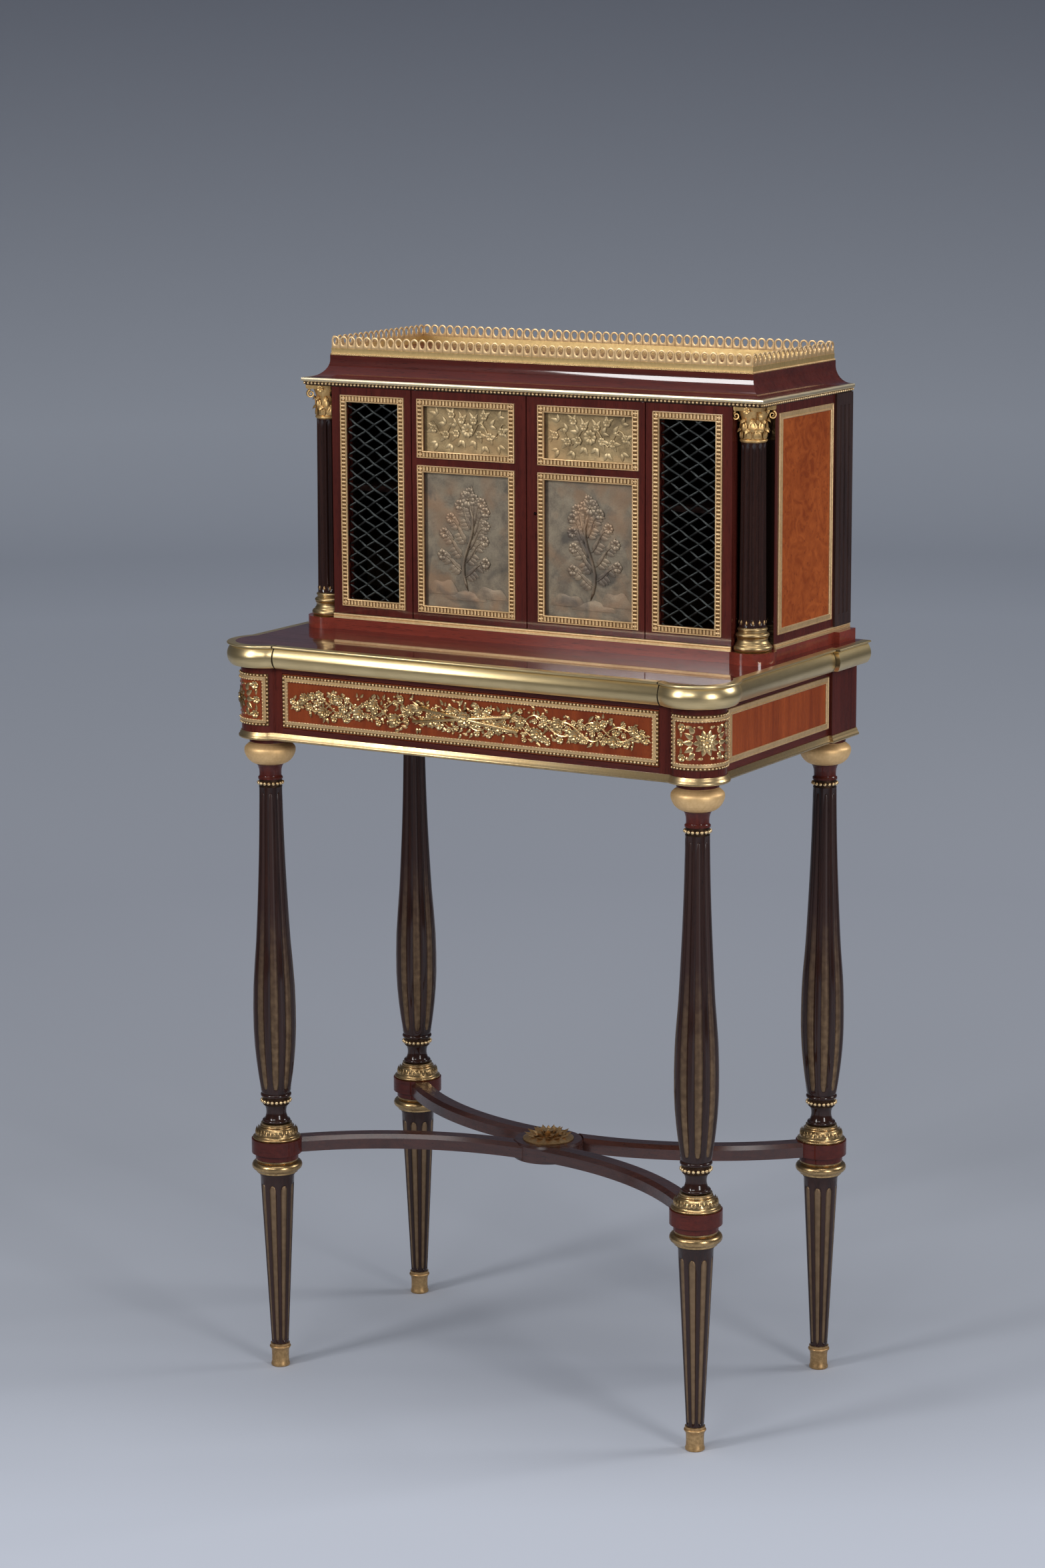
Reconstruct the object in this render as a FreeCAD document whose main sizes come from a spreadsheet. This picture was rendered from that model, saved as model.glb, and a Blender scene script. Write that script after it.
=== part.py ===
"""Bonheur du jour: a small lady's writing desk with one frieze drawer and a four-door cabinet.

Millimetres. +X to the sitter's right, +Y to the wall, +Z up. The origin is on the floor, under
the middle of the desk's overall width and depth. Every size is a cell of the sheet "Sizes";
planes and heights below are sums of those cells, and each piece is bound to them.
"""
import FreeCAD
import Part
import math
import os
import Sketcher

doc = FreeCAD.newDocument("bonheur_du_jour")
sheet = doc.addObject("Spreadsheet::Sheet", "Sizes")

SIZES = {
    # legs, measured up from the floor
    "leg_span": 500,             # between the leg axes, side to side
    "leg_front": 131,            # front leg axes, ahead of the middle
    "leg_back": 147,             # back leg axes, behind the middle
    "sabot_height": 25,
    "sabot_radius": 9.9,
    "sabot_lip": 1.3,
    "sabot_floor": 3,
    "foot_tenon_radius": 7,
    "foot_bottom_radius": 8.9,
    "foot_top_radius": 18,
    "foot_top": 214,
    "torus_radius": 26.5,
    "torus_height": 15.5,
    "torus_fillet": 3,
    "drum_radius": 26.5,
    "drum_foot_radius": 22.5,
    "drum_height": 21.5,
    "collar_foot_radius": 25,
    "collar_top_radius": 16.5,
    "collar_height": 17,
    "dowel_radius": 8,           # turned on the leg sections, through the mounts between them
    "drum_dowel_depth": 9,       # of each dowel in the drum, from above and from below
    "post_dowel_depth": 14,
    "neck_foot_radius": 14.5,
    "neck_radius": 10.8,
    "neck_top_radius": 12,
    "neck_height": 20,
    "bead_height": 8,
    "bead_radius": 16.7,
    "vase_foot_radius": 15.5,
    "vase_radius": 22.8,
    "vase_rise": 84,
    "vase_shoulder": 80,
    "vase_shoulder_drop": 4.3,
    "vase_top_radius": 12.2,
    "vase_height": 332,
    "cap_bead_radius": 14.3,
    "cap_neck_radius": 11.6,
    "cap_neck_height": 16,
    "cap_flare_radius": 13.6,
    "bun_radius": 26.5,
    "bun_foot_radius": 14.5,
    "bun_top_radius": 20,
    "bun_height": 24,
    "bun_rise": 10.5,
    "shoulder_radius": 21,
    "shoulder_height": 5,
    # stretcher
    "arm_width": 22,
    "arm_drop": 15,
    "arm_bevel": 4,
    "arm_gap": 24,               # from the centre line to each pair of arms, at its nearest
    "arm_tenon_width": 8,
    "arm_tenon_height": 7,
    "arm_tenon_length": 10,
    "platform_radius": 37,
    "platform_thick": 18,
    "platform_edge": 2,
    "rose_radius": 27,
    "rose_height": 11,
    # frieze
    "frieze_height": 76,
    "frieze_proud": 21.2,        # frieze faces, outside the leg axes
    "post_radius": 28.5,
    "post_width": 30.9,          # flat of the front posts, from the leg axis to the drawer
    "back_post_width": 24.5,
    "back_post_depth": 35,
    "back_post_proud": 3.3,
    "rail_thick": 14,
    "rail_depth": 45,
    "under_rail": 13.6,
    "over_rail": 5.6,
    "runner_width": 19,
    "runner_thick": 9,
    "guide_thick": 9,
    "guide_height": 24,
    "base_moulding_height": 7.8,
    "base_moulding_proud": 3.5,
    "corner_mount_thick": 1.6,
    "gilt_width": 6.6,
    "gilt_thick": 2,
    "frame_margin": 1.4,         # between the gilt frames and the drawer rails
    "side_frame_start": 21,      # from the front leg axis back to the side frame
    "side_frame_gap": 3,         # between the side frame and the back post
    # drawer
    "drawer_gap": 0.6,
    "runner_play": 0.3,
    "stop_length": 12,
    "stop_height": 10,
    "drawer_front_thick": 15,
    "drawer_wood_thick": 11,
    "drawer_side_drop": 10.5,    # below the rail over the drawer
    "room_behind_drawer": 34.4,
    "drawer_inset": 4.5,
    "drawer_bottom_thick": 5,
    "drawer_bottom_rise": 4,
    "groove_depth": 4,
    "festoon_end_gap": 15.9,     # between the festoon and its gilt frame, at each end
    "festoon_margin": 5.4,       # and above and below its middle
    "festoon_tip_height": 6,
    "festoon_thick": 4,
    "lock_width": 36,
    "lock_height": 26,
    "lock_thick": 6,
    "keyhole_radius": 1.8,
    # writing top
    "top_thick": 23.5,
    "top_front": 33,
    "top_side": 36,
    "top_edge_width": 9,
    "ear_radius": 42.5,
    "ear_back_proud": 4.5,
    "ear_back_depth": 72,
    # cabinet
    "column_inset": 1.5,         # column axes, inside the leg axes
    "column_front": 15.3,        # column axes, ahead of the middle
    "wall_proud": 16.2,          # cabinet faces, outside the column axes
    "notch_size": 15,            # corner recess, inside the column axes
    "plinth_height": 11.5,
    "plinth_proud": 1.5,
    "pedestal_radius": 24,
    "strip_height": 5.2,
    "strip_proud": 2,
    "cabinet_height": 236.3,
    "side_thick": 14,
    "corner_thick": 12,
    "back_thick": 8,
    "partition_thick": 12,
    "side_bay": 96.9,            # from a partition's middle to the corner recess
    "shelf_thick": 6,
    "shelf_rise": 128,
    "cap_thick": 8,
    "pilaster_width": 37,
    "pilaster_proud": 2.2,
    "flute_radius": 3.2,
    "flute_reach": 15,
    "base_height": 24,
    "base_radius": 20,
    "shaft_foot_radius": 13.6,
    "shaft_top_radius": 12.4,
    "capital_height": 35,
    "capital_foot_radius": 12.8,
    "capital_bell_radius": 16,
    "abacus_half": 17,
    "abacus_thick": 4.5,
    "column_clear": 1.3,         # between the column mounts and the door stile beside them
    # cornice and gallery
    "cornice_proud": 4,
    "cornice_bead_proud": 2.6,
    "cornice_bead_height": 4,
    "cove_radius": 18,
    "cove_height": 22.5,
    "cove_wall": 16,
    "deck_thick": 6,
    "gallery_inset": 0.8,
    "gallery_height": 19.6,
    "gallery_foot": 7,
    "gallery_thick": 1.6,
    "gallery_pitch": 9.6,
    "gallery_wire": 1.5,
    # doors
    "door_thick": 12,
    "door_gap": 0.4,
    "door_meeting_gap": 1.2,
    "door_back_gap": 1,
    "pivot_inset": 3.2,          # from the hinge edge to the pivot
    "pivot_depth": 2,            # from the door's face to the pivot
    "pivot_radius": 1.1,
    "pivot_play": 0.05,
    "pivot_length": 4,
    "door_rail": 14.4,           # wood above and below the openings
    "wire_stile": 16.9,          # outer stile of the grille doors
    "wire_inner_stile": 14.2,
    "panel_stile": 19.1,
    "panel_hinge_stile": 12.7,
    "panel_top_height": 48.3,
    "panel_rail": 19.5,
    "frame_lap": 6,              # gilt frame, on the wood round an opening
    "frame_lip": 1.5,            # gilt frame, over the edge of an opening
    "plaque_thick": 3,
    "plaque_inset": 4,
    "grille_thick": 1.2,
    "grille_inset": 2.8,
    "grille_wire": 1.5,
    "grille_border": 2.2,
    "grille_pitch_x": 16.5,
    "grille_pitch_z": 13.5,
    "door_lock_width": 13,
    "door_lock_height": 30,
    "door_lock_thick": 6,
    "door_lock_inset": 3,
}

for row, (name, number) in enumerate(SIZES.items(), start=1):
    sheet.set(f"A{row}", name)
    sheet.set(f"B{row}", str(number))
    sheet.setAlias(f"B{row}", name)
doc.recompute()


class Size:
    """A length: its text for an expression on the sheet, and its number for a first sketch."""

    def __init__(self, text, number):
        self.text = text
        self.number = number

    def _join(self, sign, other, number):
        return Size(f"({self.text} {sign} {length(other).text})", number)

    def __add__(self, other):
        return self._join("+", other, self.number + length(other).number)

    def __sub__(self, other):
        return self._join("-", other, self.number - length(other).number)

    def __mul__(self, other):
        return self._join("*", other, self.number * length(other).number)

    def __truediv__(self, other):
        return self._join("/", other, self.number / length(other).number)

    def __neg__(self):
        return Size(f"(0 - {self.text})", -self.number)

    def __rsub__(self, other):
        return length(other) - self

    def __radd__(self, other):
        return length(other) + self


def length(value):
    """A Size from a Size or a plain number."""
    return value if isinstance(value, Size) else Size(repr(value), float(value))


def square_root(value):
    """The square root of a Size."""
    return Size(f"sqrt({value.text})", math.sqrt(value.number))


class Dimensions:
    """The sheet's cells as Sizes, by name."""

    def __getattr__(self, name):
        return Size(f"Sizes.{name}", float(sheet.get(name)))


dim = Dimensions()
NODES = []


def bind(thing, prop, value):
    """Tie one property of an object to the sheet."""
    thing.setExpression(prop, length(value).text)


def node(thing, label):
    """Name a finished sub-part and list it for writing."""
    thing.Label = label
    NODES.append(thing)
    return thing


def place(thing, x=0, y=0, z=0):
    """Put an object's own origin at a point."""
    for axis, value in (("x", x), ("y", y), ("z", z)):
        bind(thing, f"Placement.Base.{axis}", value)
    return thing


def board(name, x, y, z):
    """A board between two planes on each axis."""
    box = doc.addObject("Part::Box", name)
    bind(box, "Length", x[1] - x[0])
    bind(box, "Width", y[1] - y[0])
    bind(box, "Height", z[1] - z[0])
    return place(box, x[0], y[0], z[0])


def rod(name, radius, x, y, z):
    """An upright round between two heights."""
    cylinder = doc.addObject("Part::Cylinder", name)
    bind(cylinder, "Radius", radius)
    bind(cylinder, "Height", z[1] - z[0])
    return place(cylinder, x, y, z[0])


def level_rod(name, radius, x, y, z):
    """A round that lies front to back, between two depths."""
    cylinder = doc.addObject("Part::Cylinder", name)
    bind(cylinder, "Radius", radius)
    bind(cylinder, "Height", y[1] - y[0])
    cylinder.Placement.Rotation = FreeCAD.Rotation(FreeCAD.Vector(1, 0, 0), -90)
    return place(cylinder, x, y[0], z)


def fuse(name, *pieces):
    """Wood or metal that is one piece."""
    joined = doc.addObject("Part::MultiFuse", name)
    joined.Shapes = list(pieces)
    joined.Refine = True
    return joined


def cut(name, base, *tools):
    """A piece with recesses, holes or housings taken out."""
    result = doc.addObject("Part::Cut", name)
    result.Base = base
    result.Tool = tools[0] if len(tools) == 1 else fuse(name + "_waste", *tools)
    result.Refine = True
    return result


def common(name, first, second):
    """What two forms share."""
    result = doc.addObject("Part::Common", name)
    result.Base = first
    result.Tool = second
    result.Refine = True
    return result


def mirrored(name, source, normal=(1, 0, 0), y=0):
    """The same piece on the other side of the desk."""
    image = doc.addObject("Part::Mirroring", name)
    image.Source = source
    image.Normal = FreeCAD.Vector(*normal)
    bind(image, "Base.y", y)
    return image


def group(name, *pieces):
    """Like pieces that share one node, each a solid of its own."""
    compound = doc.addObject("Part::Compound", name)
    compound.Links = list(pieces)
    return compound


def pair(name, right):
    """A piece and its twin on the left."""
    return group(name, right, mirrored(name + "_left", right))


def arc_between(start, end, radius, outward):
    """The short arc between two points of an anticlockwise profile, bulging outward or hollow."""
    (x0, y0), (x1, y1) = start, end
    chord = math.hypot(x1 - x0, y1 - y0)
    rise = math.sqrt(max(radius ** 2 - chord ** 2 / 4, 0))
    side = -1 if outward else 1
    centre_x = (x0 + x1) / 2 + side * rise * (y1 - y0) / chord
    centre_y = (y0 + y1) / 2 - side * rise * (x1 - x0) / chord
    first = math.atan2(y0 - centre_y, x0 - centre_x)
    last = math.atan2(y1 - centre_y, x1 - centre_x)
    low, high = (first, last) if outward else (last, first)
    circle = Part.Circle(FreeCAD.Vector(centre_x, centre_y, 0), FreeCAD.Vector(0, 0, 1), radius)
    return Part.ArcOfCircle(circle, low, high)


def draw(sketch, points):
    """A closed outline. A point is (across, up), or (across, up, radius, outward) for an arc to it."""
    corners = [(length(point[0]), length(point[1])) for point in points]
    ends = []
    for index, point in enumerate(points):
        start = tuple(value.number for value in corners[index - 1])
        end = tuple(value.number for value in corners[index])
        if len(point) == 4:
            radius = length(point[2])
            edge = sketch.addGeometry(arc_between(start, end, radius.number, point[3]))
            at = sketch.addConstraint(Sketcher.Constraint("Radius", edge, radius.number))
            sketch.setExpression(f"Constraints[{at}]", radius.text)
            ends.append((edge, 1, 2) if point[3] else (edge, 2, 1))
        else:
            line = Part.LineSegment(FreeCAD.Vector(*start, 0), FreeCAD.Vector(*end, 0))
            ends.append((sketch.addGeometry(line), 1, 2))
    for index, (edge, _, last) in enumerate(ends):
        following, first, _ = ends[(index + 1) % len(ends)]
        sketch.addConstraint(Sketcher.Constraint("Coincident", edge, last, following, first))
        for kind, axis, value in (("DistanceX", -2, corners[index][0]), ("DistanceY", -1, corners[index][1])):
            if value.number == 0:
                sketch.addConstraint(Sketcher.Constraint("PointOnObject", edge, last, axis))
                continue
            at = sketch.addConstraint(Sketcher.Constraint(kind, -1, 1, edge, last, value.number))
            sketch.setExpression(f"Constraints[{at}]", value.text)


def turned(name, profile, x=0, y=0):
    """A lathe-turned piece on its own upright axis."""
    body = doc.addObject("PartDesign::Body", name)
    sketch = body.newObject("Sketcher::SketchObject", name + "_profile")
    plane = next(item for item in body.Origin.OriginFeatures if item.Role == "XZ_Plane")
    sketch.AttachmentSupport = [(plane, "")]
    sketch.MapMode = "FlatFace"
    draw(sketch, profile)
    turning = body.newObject("PartDesign::Revolution", name + "_turning")
    turning.Profile = sketch
    turning.ReferenceAxis = (sketch, ["V_Axis"])
    turning.Angle = 360
    body.Tip = turning
    return place(body, x, y)


def extruded(name, profile, along, reach):
    """A moulding of one section, run both ways from the middle along X or Y."""
    sketch = doc.addObject("Sketcher::SketchObject", name + "_section")
    turn = FreeCAD.Rotation(FreeCAD.Vector(1, 0, 0), 90)
    if along == "X":
        turn = FreeCAD.Rotation(FreeCAD.Vector(0, 0, 1), 90) * turn
    sketch.Placement = FreeCAD.Placement(FreeCAD.Vector(0, 0, 0), turn)
    draw(sketch, profile)
    run = doc.addObject("Part::Extrusion", name)
    run.Base = sketch
    run.DirMode = "Normal"
    run.Solid = True
    run.Symmetric = True
    bind(run, "LengthFwd", reach * 2)
    return run


# Planes and heights that several pieces share.
half_span = dim.leg_span / 2
front_axis = -dim.leg_front
back_axis = dim.leg_back
middle_y = (dim.leg_back - dim.leg_front) / 2
frieze_front = front_axis - dim.frieze_proud
frieze_side = half_span + dim.frieze_proud
back_plane = back_axis + dim.frieze_proud
post_rear = front_axis + square_root(dim.post_radius * dim.post_radius - dim.frieze_proud * dim.frieze_proud)

z_drum = dim.foot_top + dim.torus_height
z_collar = z_drum + dim.drum_height
z_neck = z_collar + dim.collar_height
z_bead = z_neck + dim.neck_height
z_vase = z_bead + dim.bead_height
z_cap_bead = z_vase + dim.vase_height
z_cap_neck = z_cap_bead + dim.bead_height
z_bun = z_cap_neck + dim.cap_neck_height
z_shoulder = z_bun + dim.bun_height
z_frieze = z_shoulder + dim.shoulder_height
z_under_rail = z_frieze + dim.under_rail
z_over_rail = z_frieze + dim.frieze_height - dim.over_rail
z_frame = (z_under_rail + z_over_rail) / 2
frame_height = z_over_rail - z_under_rail - dim.frame_margin * 2
drawer_rear = back_plane - dim.rail_thick - dim.room_behind_drawer
z_top = z_frieze + dim.frieze_height
z_plinth = z_top + dim.top_thick
z_bottom = z_plinth + dim.plinth_height
z_floor = z_bottom + dim.strip_height
z_cap = z_floor + dim.cabinet_height
z_cove = z_cap + dim.cap_thick
z_gallery = z_cove + dim.cove_height

column_span = half_span - dim.column_inset
column_axis = -dim.column_front
door_front = column_axis - dim.wall_proud
door_back = door_front + dim.door_thick
wall = column_span + dim.wall_proud
notch_x = column_span - dim.notch_size
partition_span = notch_x - dim.side_bay
notch_y = column_axis + dim.notch_size

LEGS = {
    "front_left": (-half_span, front_axis),
    "front_right": (half_span, front_axis),
    "back_left": (-half_span, back_axis),
    "back_right": (half_span, back_axis),
}


def on_each_leg(name, profile):
    """The same turned piece on all four legs, each a solid of its own."""
    return group(name, *(turned(f"{name}_{corner}", profile, *at) for corner, at in LEGS.items()))


def make_sabots():
    """Gilt bronze toe cups that the tapered feet stand in."""
    lip = dim.sabot_radius + dim.sabot_lip
    profile = [
        (0, 0),
        (dim.sabot_radius + 0.4, 0),
        (dim.sabot_radius, dim.sabot_height * 0.25),
        (dim.sabot_radius, dim.sabot_height * 0.76),
        (lip, dim.sabot_height * 0.84),
        (lip, dim.sabot_height),
        (dim.foot_tenon_radius, dim.sabot_height),
        (dim.foot_tenon_radius, dim.sabot_floor),
        (0, dim.sabot_floor),
    ]
    node(on_each_leg("sabots_on_legs", profile), "sabots")


def make_feet():
    """Lower leg sections: a taper between the tenon in its sabot and the dowel into its drum."""
    profile = [
        (0, dim.sabot_floor),
        (dim.foot_tenon_radius, dim.sabot_floor),
        (dim.foot_tenon_radius, dim.sabot_height),
        (dim.foot_bottom_radius, dim.sabot_height),
        (dim.foot_top_radius, dim.foot_top),
        (dim.dowel_radius, dim.foot_top),
        (dim.dowel_radius, z_drum + dim.drum_dowel_depth),
        (0, z_drum + dim.drum_dowel_depth),
    ]
    node(on_each_leg("feet_of_legs", profile), "leg_feet")


def make_stems():
    """Upper leg sections: a tall vase with a long dowel turned at each end."""
    swell = dim.vase_radius - dim.vase_foot_radius
    swell_arc = (dim.vase_rise * dim.vase_rise + swell * swell) / (swell * 2)
    drop = dim.vase_shoulder_drop
    drop_arc = (dim.vase_shoulder * dim.vase_shoulder + drop * drop) / (drop * 2)
    shoulder_z = z_vase + dim.vase_rise + dim.vase_shoulder
    throat = dim.vase_radius - drop - dim.vase_top_radius
    throat_rise = dim.vase_height - dim.vase_rise - dim.vase_shoulder
    throat_arc = (throat_rise * throat_rise + throat * throat) / (throat * 2)
    profile = [
        (0, z_collar - dim.drum_dowel_depth),
        (dim.dowel_radius, z_collar - dim.drum_dowel_depth),
        (dim.dowel_radius, z_vase),
        (dim.vase_foot_radius, z_vase),
        (dim.vase_radius, z_vase + dim.vase_rise, swell_arc, True),
        (dim.vase_radius - drop, shoulder_z, drop_arc, True),
        (dim.vase_top_radius, z_cap_bead, throat_arc, False),
        (dim.dowel_radius, z_cap_bead),
        (dim.dowel_radius, z_frieze + dim.post_dowel_depth),
        (0, z_frieze + dim.post_dowel_depth),
    ]
    for corner, at in LEGS.items():
        node(turned(f"stem_{corner}", profile, *at), f"leg_stem_{corner}")


def make_necks():
    """Short wooden turnings threaded on the stems: a spool under the vase, a neck above it."""
    spool = [
        (dim.dowel_radius, z_neck),
        (dim.neck_foot_radius, z_neck),
        (dim.neck_radius, z_neck + dim.neck_height / 2, dim.neck_height * 0.7, False),
        (dim.neck_top_radius, z_bead, dim.neck_height * 0.7, False),
        (dim.dowel_radius, z_bead),
    ]
    node(on_each_leg("spools_on_legs", spool), "leg_spools")
    neck = [
        (dim.dowel_radius, z_cap_neck),
        (dim.cap_neck_radius, z_cap_neck),
        (dim.cap_flare_radius, z_bun, dim.cap_neck_height * 1.2, False),
        (dim.dowel_radius, z_bun),
    ]
    node(on_each_leg("necks_on_legs", neck), "leg_top_necks")


def make_leg_mounts():
    """Gilt bronze threaded on the legs: torus and bead rings, bell collars and flattened buns."""
    fillet = dim.torus_fillet
    bulge = (dim.torus_height - fillet * 2) / 2
    shelf = dim.torus_radius - bulge
    z_bulge = dim.foot_top + fillet
    torus = [
        (dim.dowel_radius, dim.foot_top),
        (shelf, dim.foot_top),
        (shelf, z_bulge),
        (dim.torus_radius, z_bulge + bulge, bulge, True),
        (shelf, z_bulge + bulge * 2, bulge, True),
        (shelf, z_drum),
        (dim.dowel_radius, z_drum),
    ]
    half_bead = dim.bead_height / 2

    def bead_ring(radius, bottom):
        return [
            (dim.dowel_radius, bottom),
            (radius - half_bead, bottom),
            (radius, bottom + half_bead, half_bead, True),
            (radius - half_bead, bottom + dim.bead_height, half_bead, True),
            (dim.dowel_radius, bottom + dim.bead_height),
        ]

    lower_beads = bead_ring(dim.bead_radius, z_bead)
    upper_beads = bead_ring(dim.cap_bead_radius, z_cap_bead)
    rings = [on_each_leg("torus_rings", torus)]
    rings.append(on_each_leg("lower_bead_rings", lower_beads))
    rings.append(on_each_leg("upper_bead_rings", upper_beads))
    node(group("rings_on_legs", *rings), "leg_rings")

    lip = dim.collar_height * 0.2
    collar = [
        (dim.dowel_radius, z_collar),
        (dim.collar_foot_radius, z_collar),
        (dim.collar_foot_radius, z_collar + lip),
        (dim.collar_foot_radius * 0.86, z_collar + lip * 2),
        (dim.collar_top_radius, z_neck - lip, dim.collar_height, True),
        (dim.collar_top_radius, z_neck),
        (dim.dowel_radius, z_neck),
    ]
    node(on_each_leg("collars_on_legs", collar), "leg_collars")

    bun = [
        (dim.dowel_radius, z_bun),
        (dim.bun_foot_radius, z_bun),
        (dim.bun_radius, z_bun + dim.bun_rise, dim.bun_rise * 1.5, True),
        (dim.bun_top_radius, z_shoulder, (dim.bun_height - dim.bun_rise) * 1.2, True),
        (dim.dowel_radius, z_shoulder),
    ]
    node(on_each_leg("buns_on_legs", bun), "leg_buns")


def make_stretcher():
    """Incurved arms tenoned into a drum on each leg and into a round platform with a gilt rose."""
    reach = (dim.leg_front + dim.leg_back) / 2 - dim.arm_gap
    arc = (reach * reach + half_span * half_span) / (reach * 2)
    half_arm = dim.arm_width / 2
    low = z_collar - dim.arm_drop
    hoop_y = middle_y - dim.arm_gap - arc
    section = [
        (arc - half_arm, low),
        (arc + half_arm, low),
        (arc + half_arm, z_collar - dim.arm_bevel),
        (arc + half_arm - dim.arm_bevel, z_collar),
        (arc - half_arm + dim.arm_bevel, z_collar),
        (arc - half_arm, z_collar - dim.arm_bevel),
    ]
    tenon_low = z_collar - (dim.arm_drop + dim.arm_tenon_height) / 2
    tenon_top = tenon_low + dim.arm_tenon_height
    half_tenon = dim.arm_tenon_width / 2
    tenon_section = [
        (arc - half_tenon, tenon_low),
        (arc + half_tenon, tenon_low),
        (arc + half_tenon, tenon_top),
        (arc - half_tenon, tenon_top),
    ]

    def quarter(name, profile, set_back, z):
        """The front right quarter of a hoop, from the platform to the leg, its ends set_back in."""
        hoop = turned(name + "_hoop", profile, y=hoop_y)
        span = board(name + "_span", (length(0), half_span), (front_axis, middle_y), z)
        hub = rod(name + "_hub", dim.platform_radius - set_back, 0, middle_y, z)
        drum = rod(name + "_drum", dim.drum_radius - set_back, half_span, front_axis, z)
        return cut(name, common(name + "_blank", hoop, span), hub, drum)

    bar = quarter("arm_bar", section, length(0), (low, z_collar))
    tenons = quarter("arm_tenons", tenon_section, dim.arm_tenon_length, (tenon_low, tenon_top))
    front_right = fuse("arm_front_right", bar, tenons)
    front_left = mirrored("arm_front_left", front_right)
    back_right = mirrored("arm_back_right", front_right, (0, 1, 0), middle_y)
    back_left = mirrored("arm_back_left", front_left, (0, 1, 0), middle_y)
    node(group("arms", front_right, front_left, back_right, back_left), "stretcher_arms")

    block = [
        (dim.dowel_radius, z_drum),
        (dim.drum_foot_radius, z_drum),
        (dim.drum_foot_radius, low),
        (dim.drum_radius, low),
        (dim.drum_radius, z_collar),
        (dim.dowel_radius, z_collar),
    ]
    blank = turned("drum_blank", block, half_span, front_axis)
    drum_front_right = cut("drum_front_right", blank, tenons)
    drum_front_left = mirrored("drum_front_left", drum_front_right)
    drum_back_right = mirrored("drum_back_right", drum_front_right, (0, 1, 0), middle_y)
    drum_back_left = mirrored("drum_back_left", drum_front_left, (0, 1, 0), middle_y)
    drums = (drum_front_right, drum_front_left, drum_back_right, drum_back_left)
    node(group("drums", *drums), "stretcher_drums")

    edge = dim.platform_radius - dim.platform_edge
    platform_foot = z_collar - dim.platform_thick
    platform = [
        (0, platform_foot),
        (dim.platform_radius, platform_foot),
        (dim.platform_radius, z_collar - dim.platform_edge),
        (edge, z_collar),
        (0, z_collar),
    ]
    mortises = [tenons, mirrored("mortise_front_left", tenons)]
    mortises += [mirrored(f"mortise_back_{index}", mortise, (0, 1, 0), middle_y)
                 for index, mortise in enumerate(tuple(mortises))]
    disc = turned("platform_disc", platform, y=middle_y)
    node(cut("platform", disc, *mortises), "stretcher_platform")

    rose = [
        (0, z_collar),
        (dim.rose_radius, z_collar),
        (dim.rose_radius * 0.95, z_collar + dim.rose_height * 0.2),
        (dim.rose_radius * 0.4, z_collar + dim.rose_height * 0.6),
        (dim.rose_radius * 0.2, z_collar + dim.rose_height),
        (0, z_collar + dim.rose_height),
    ]
    node(turned("rose", rose, y=middle_y), "platform_rose")


def make_posts():
    """Corner posts of the frieze: round-faced in front, square behind, on turned shoulders."""
    height = (z_frieze, z_top)
    shoulder = (z_shoulder, z_frieze)
    dowel = (z_shoulder, z_frieze + dim.post_dowel_depth)
    inner = half_span - dim.post_width
    beyond = dim.post_radius * 2
    round_face = rod("front_post_round", dim.post_radius, half_span, front_axis, height)
    flat = board("front_post_flat", (inner, half_span), (frieze_front, post_rear), height)
    heel = board("front_post_heel", (inner, frieze_side), (front_axis, post_rear), height)
    behind = board("front_post_behind", (inner - beyond, half_span + beyond),
                   (post_rear, post_rear + beyond), height)
    foot = rod("front_post_shoulder", dim.shoulder_radius, half_span, front_axis, shoulder)
    bore = rod("front_post_bore", dim.dowel_radius, half_span, front_axis, dowel)
    front = cut("front_post", fuse("front_post_wood", round_face, flat, heel, foot), behind, bore)
    node(pair("front_posts_pair", front), "front_posts")

    across = (half_span - dim.back_post_width, frieze_side + dim.back_post_proud)
    block = board("back_post_block", across, (back_axis - dim.back_post_depth, back_plane), height)
    foot = rod("back_post_shoulder", dim.shoulder_radius, half_span, back_axis, shoulder)
    bore = rod("back_post_bore", dim.dowel_radius, half_span, back_axis, dowel)
    back = cut("back_post", fuse("back_post_wood", block, foot), bore)
    node(pair("back_posts_pair", back), "back_posts")


def make_frieze_rails():
    """Side and back rails, the two rails round the drawer, and the runners it slides on."""
    height = (z_frieze, z_top)
    run = (post_rear, back_axis - dim.back_post_depth)
    side = board("side_rail", (frieze_side - dim.rail_thick, frieze_side), run, height)
    node(pair("side_rails_pair", side), "side_rails")

    inner = half_span - dim.back_post_width
    back = board("rail_behind", (-inner, inner), (back_plane - dim.rail_thick, back_plane), height)
    node(back, "back_rail")

    opening = half_span - dim.post_width
    depth = (frieze_front, frieze_front + dim.rail_depth)
    under = board("rail_under_drawer", (-opening, opening), depth, (z_frieze, z_under_rail))
    over = board("rail_over_drawer", (-opening, opening), depth, (z_over_rail, z_top))
    node(group("rails_round_drawer", under, over), "drawer_rails")

    drawer_side = opening - dim.drawer_inset
    run = (frieze_front + dim.rail_depth, back_plane - dim.rail_thick)
    runner_x = (drawer_side - dim.runner_width, drawer_side + dim.drawer_gap + dim.guide_thick)
    guide_x = (drawer_side + dim.drawer_gap, drawer_side + dim.drawer_gap + dim.guide_thick)
    stop_x = (runner_x[0], guide_x[0])
    stop_y = (drawer_rear + dim.runner_play, drawer_rear + dim.runner_play + dim.stop_length)
    runner = board("runner", runner_x, run, (z_under_rail - dim.runner_thick, z_under_rail))
    guide = board("runner_guide", guide_x, run, (z_under_rail, z_under_rail + dim.guide_height))
    stop = board("runner_stop", stop_x, stop_y, (z_under_rail, z_under_rail + dim.stop_height))
    node(pair("runners_pair", fuse("runner_right", runner, guide, stop)), "drawer_runners")


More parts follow.
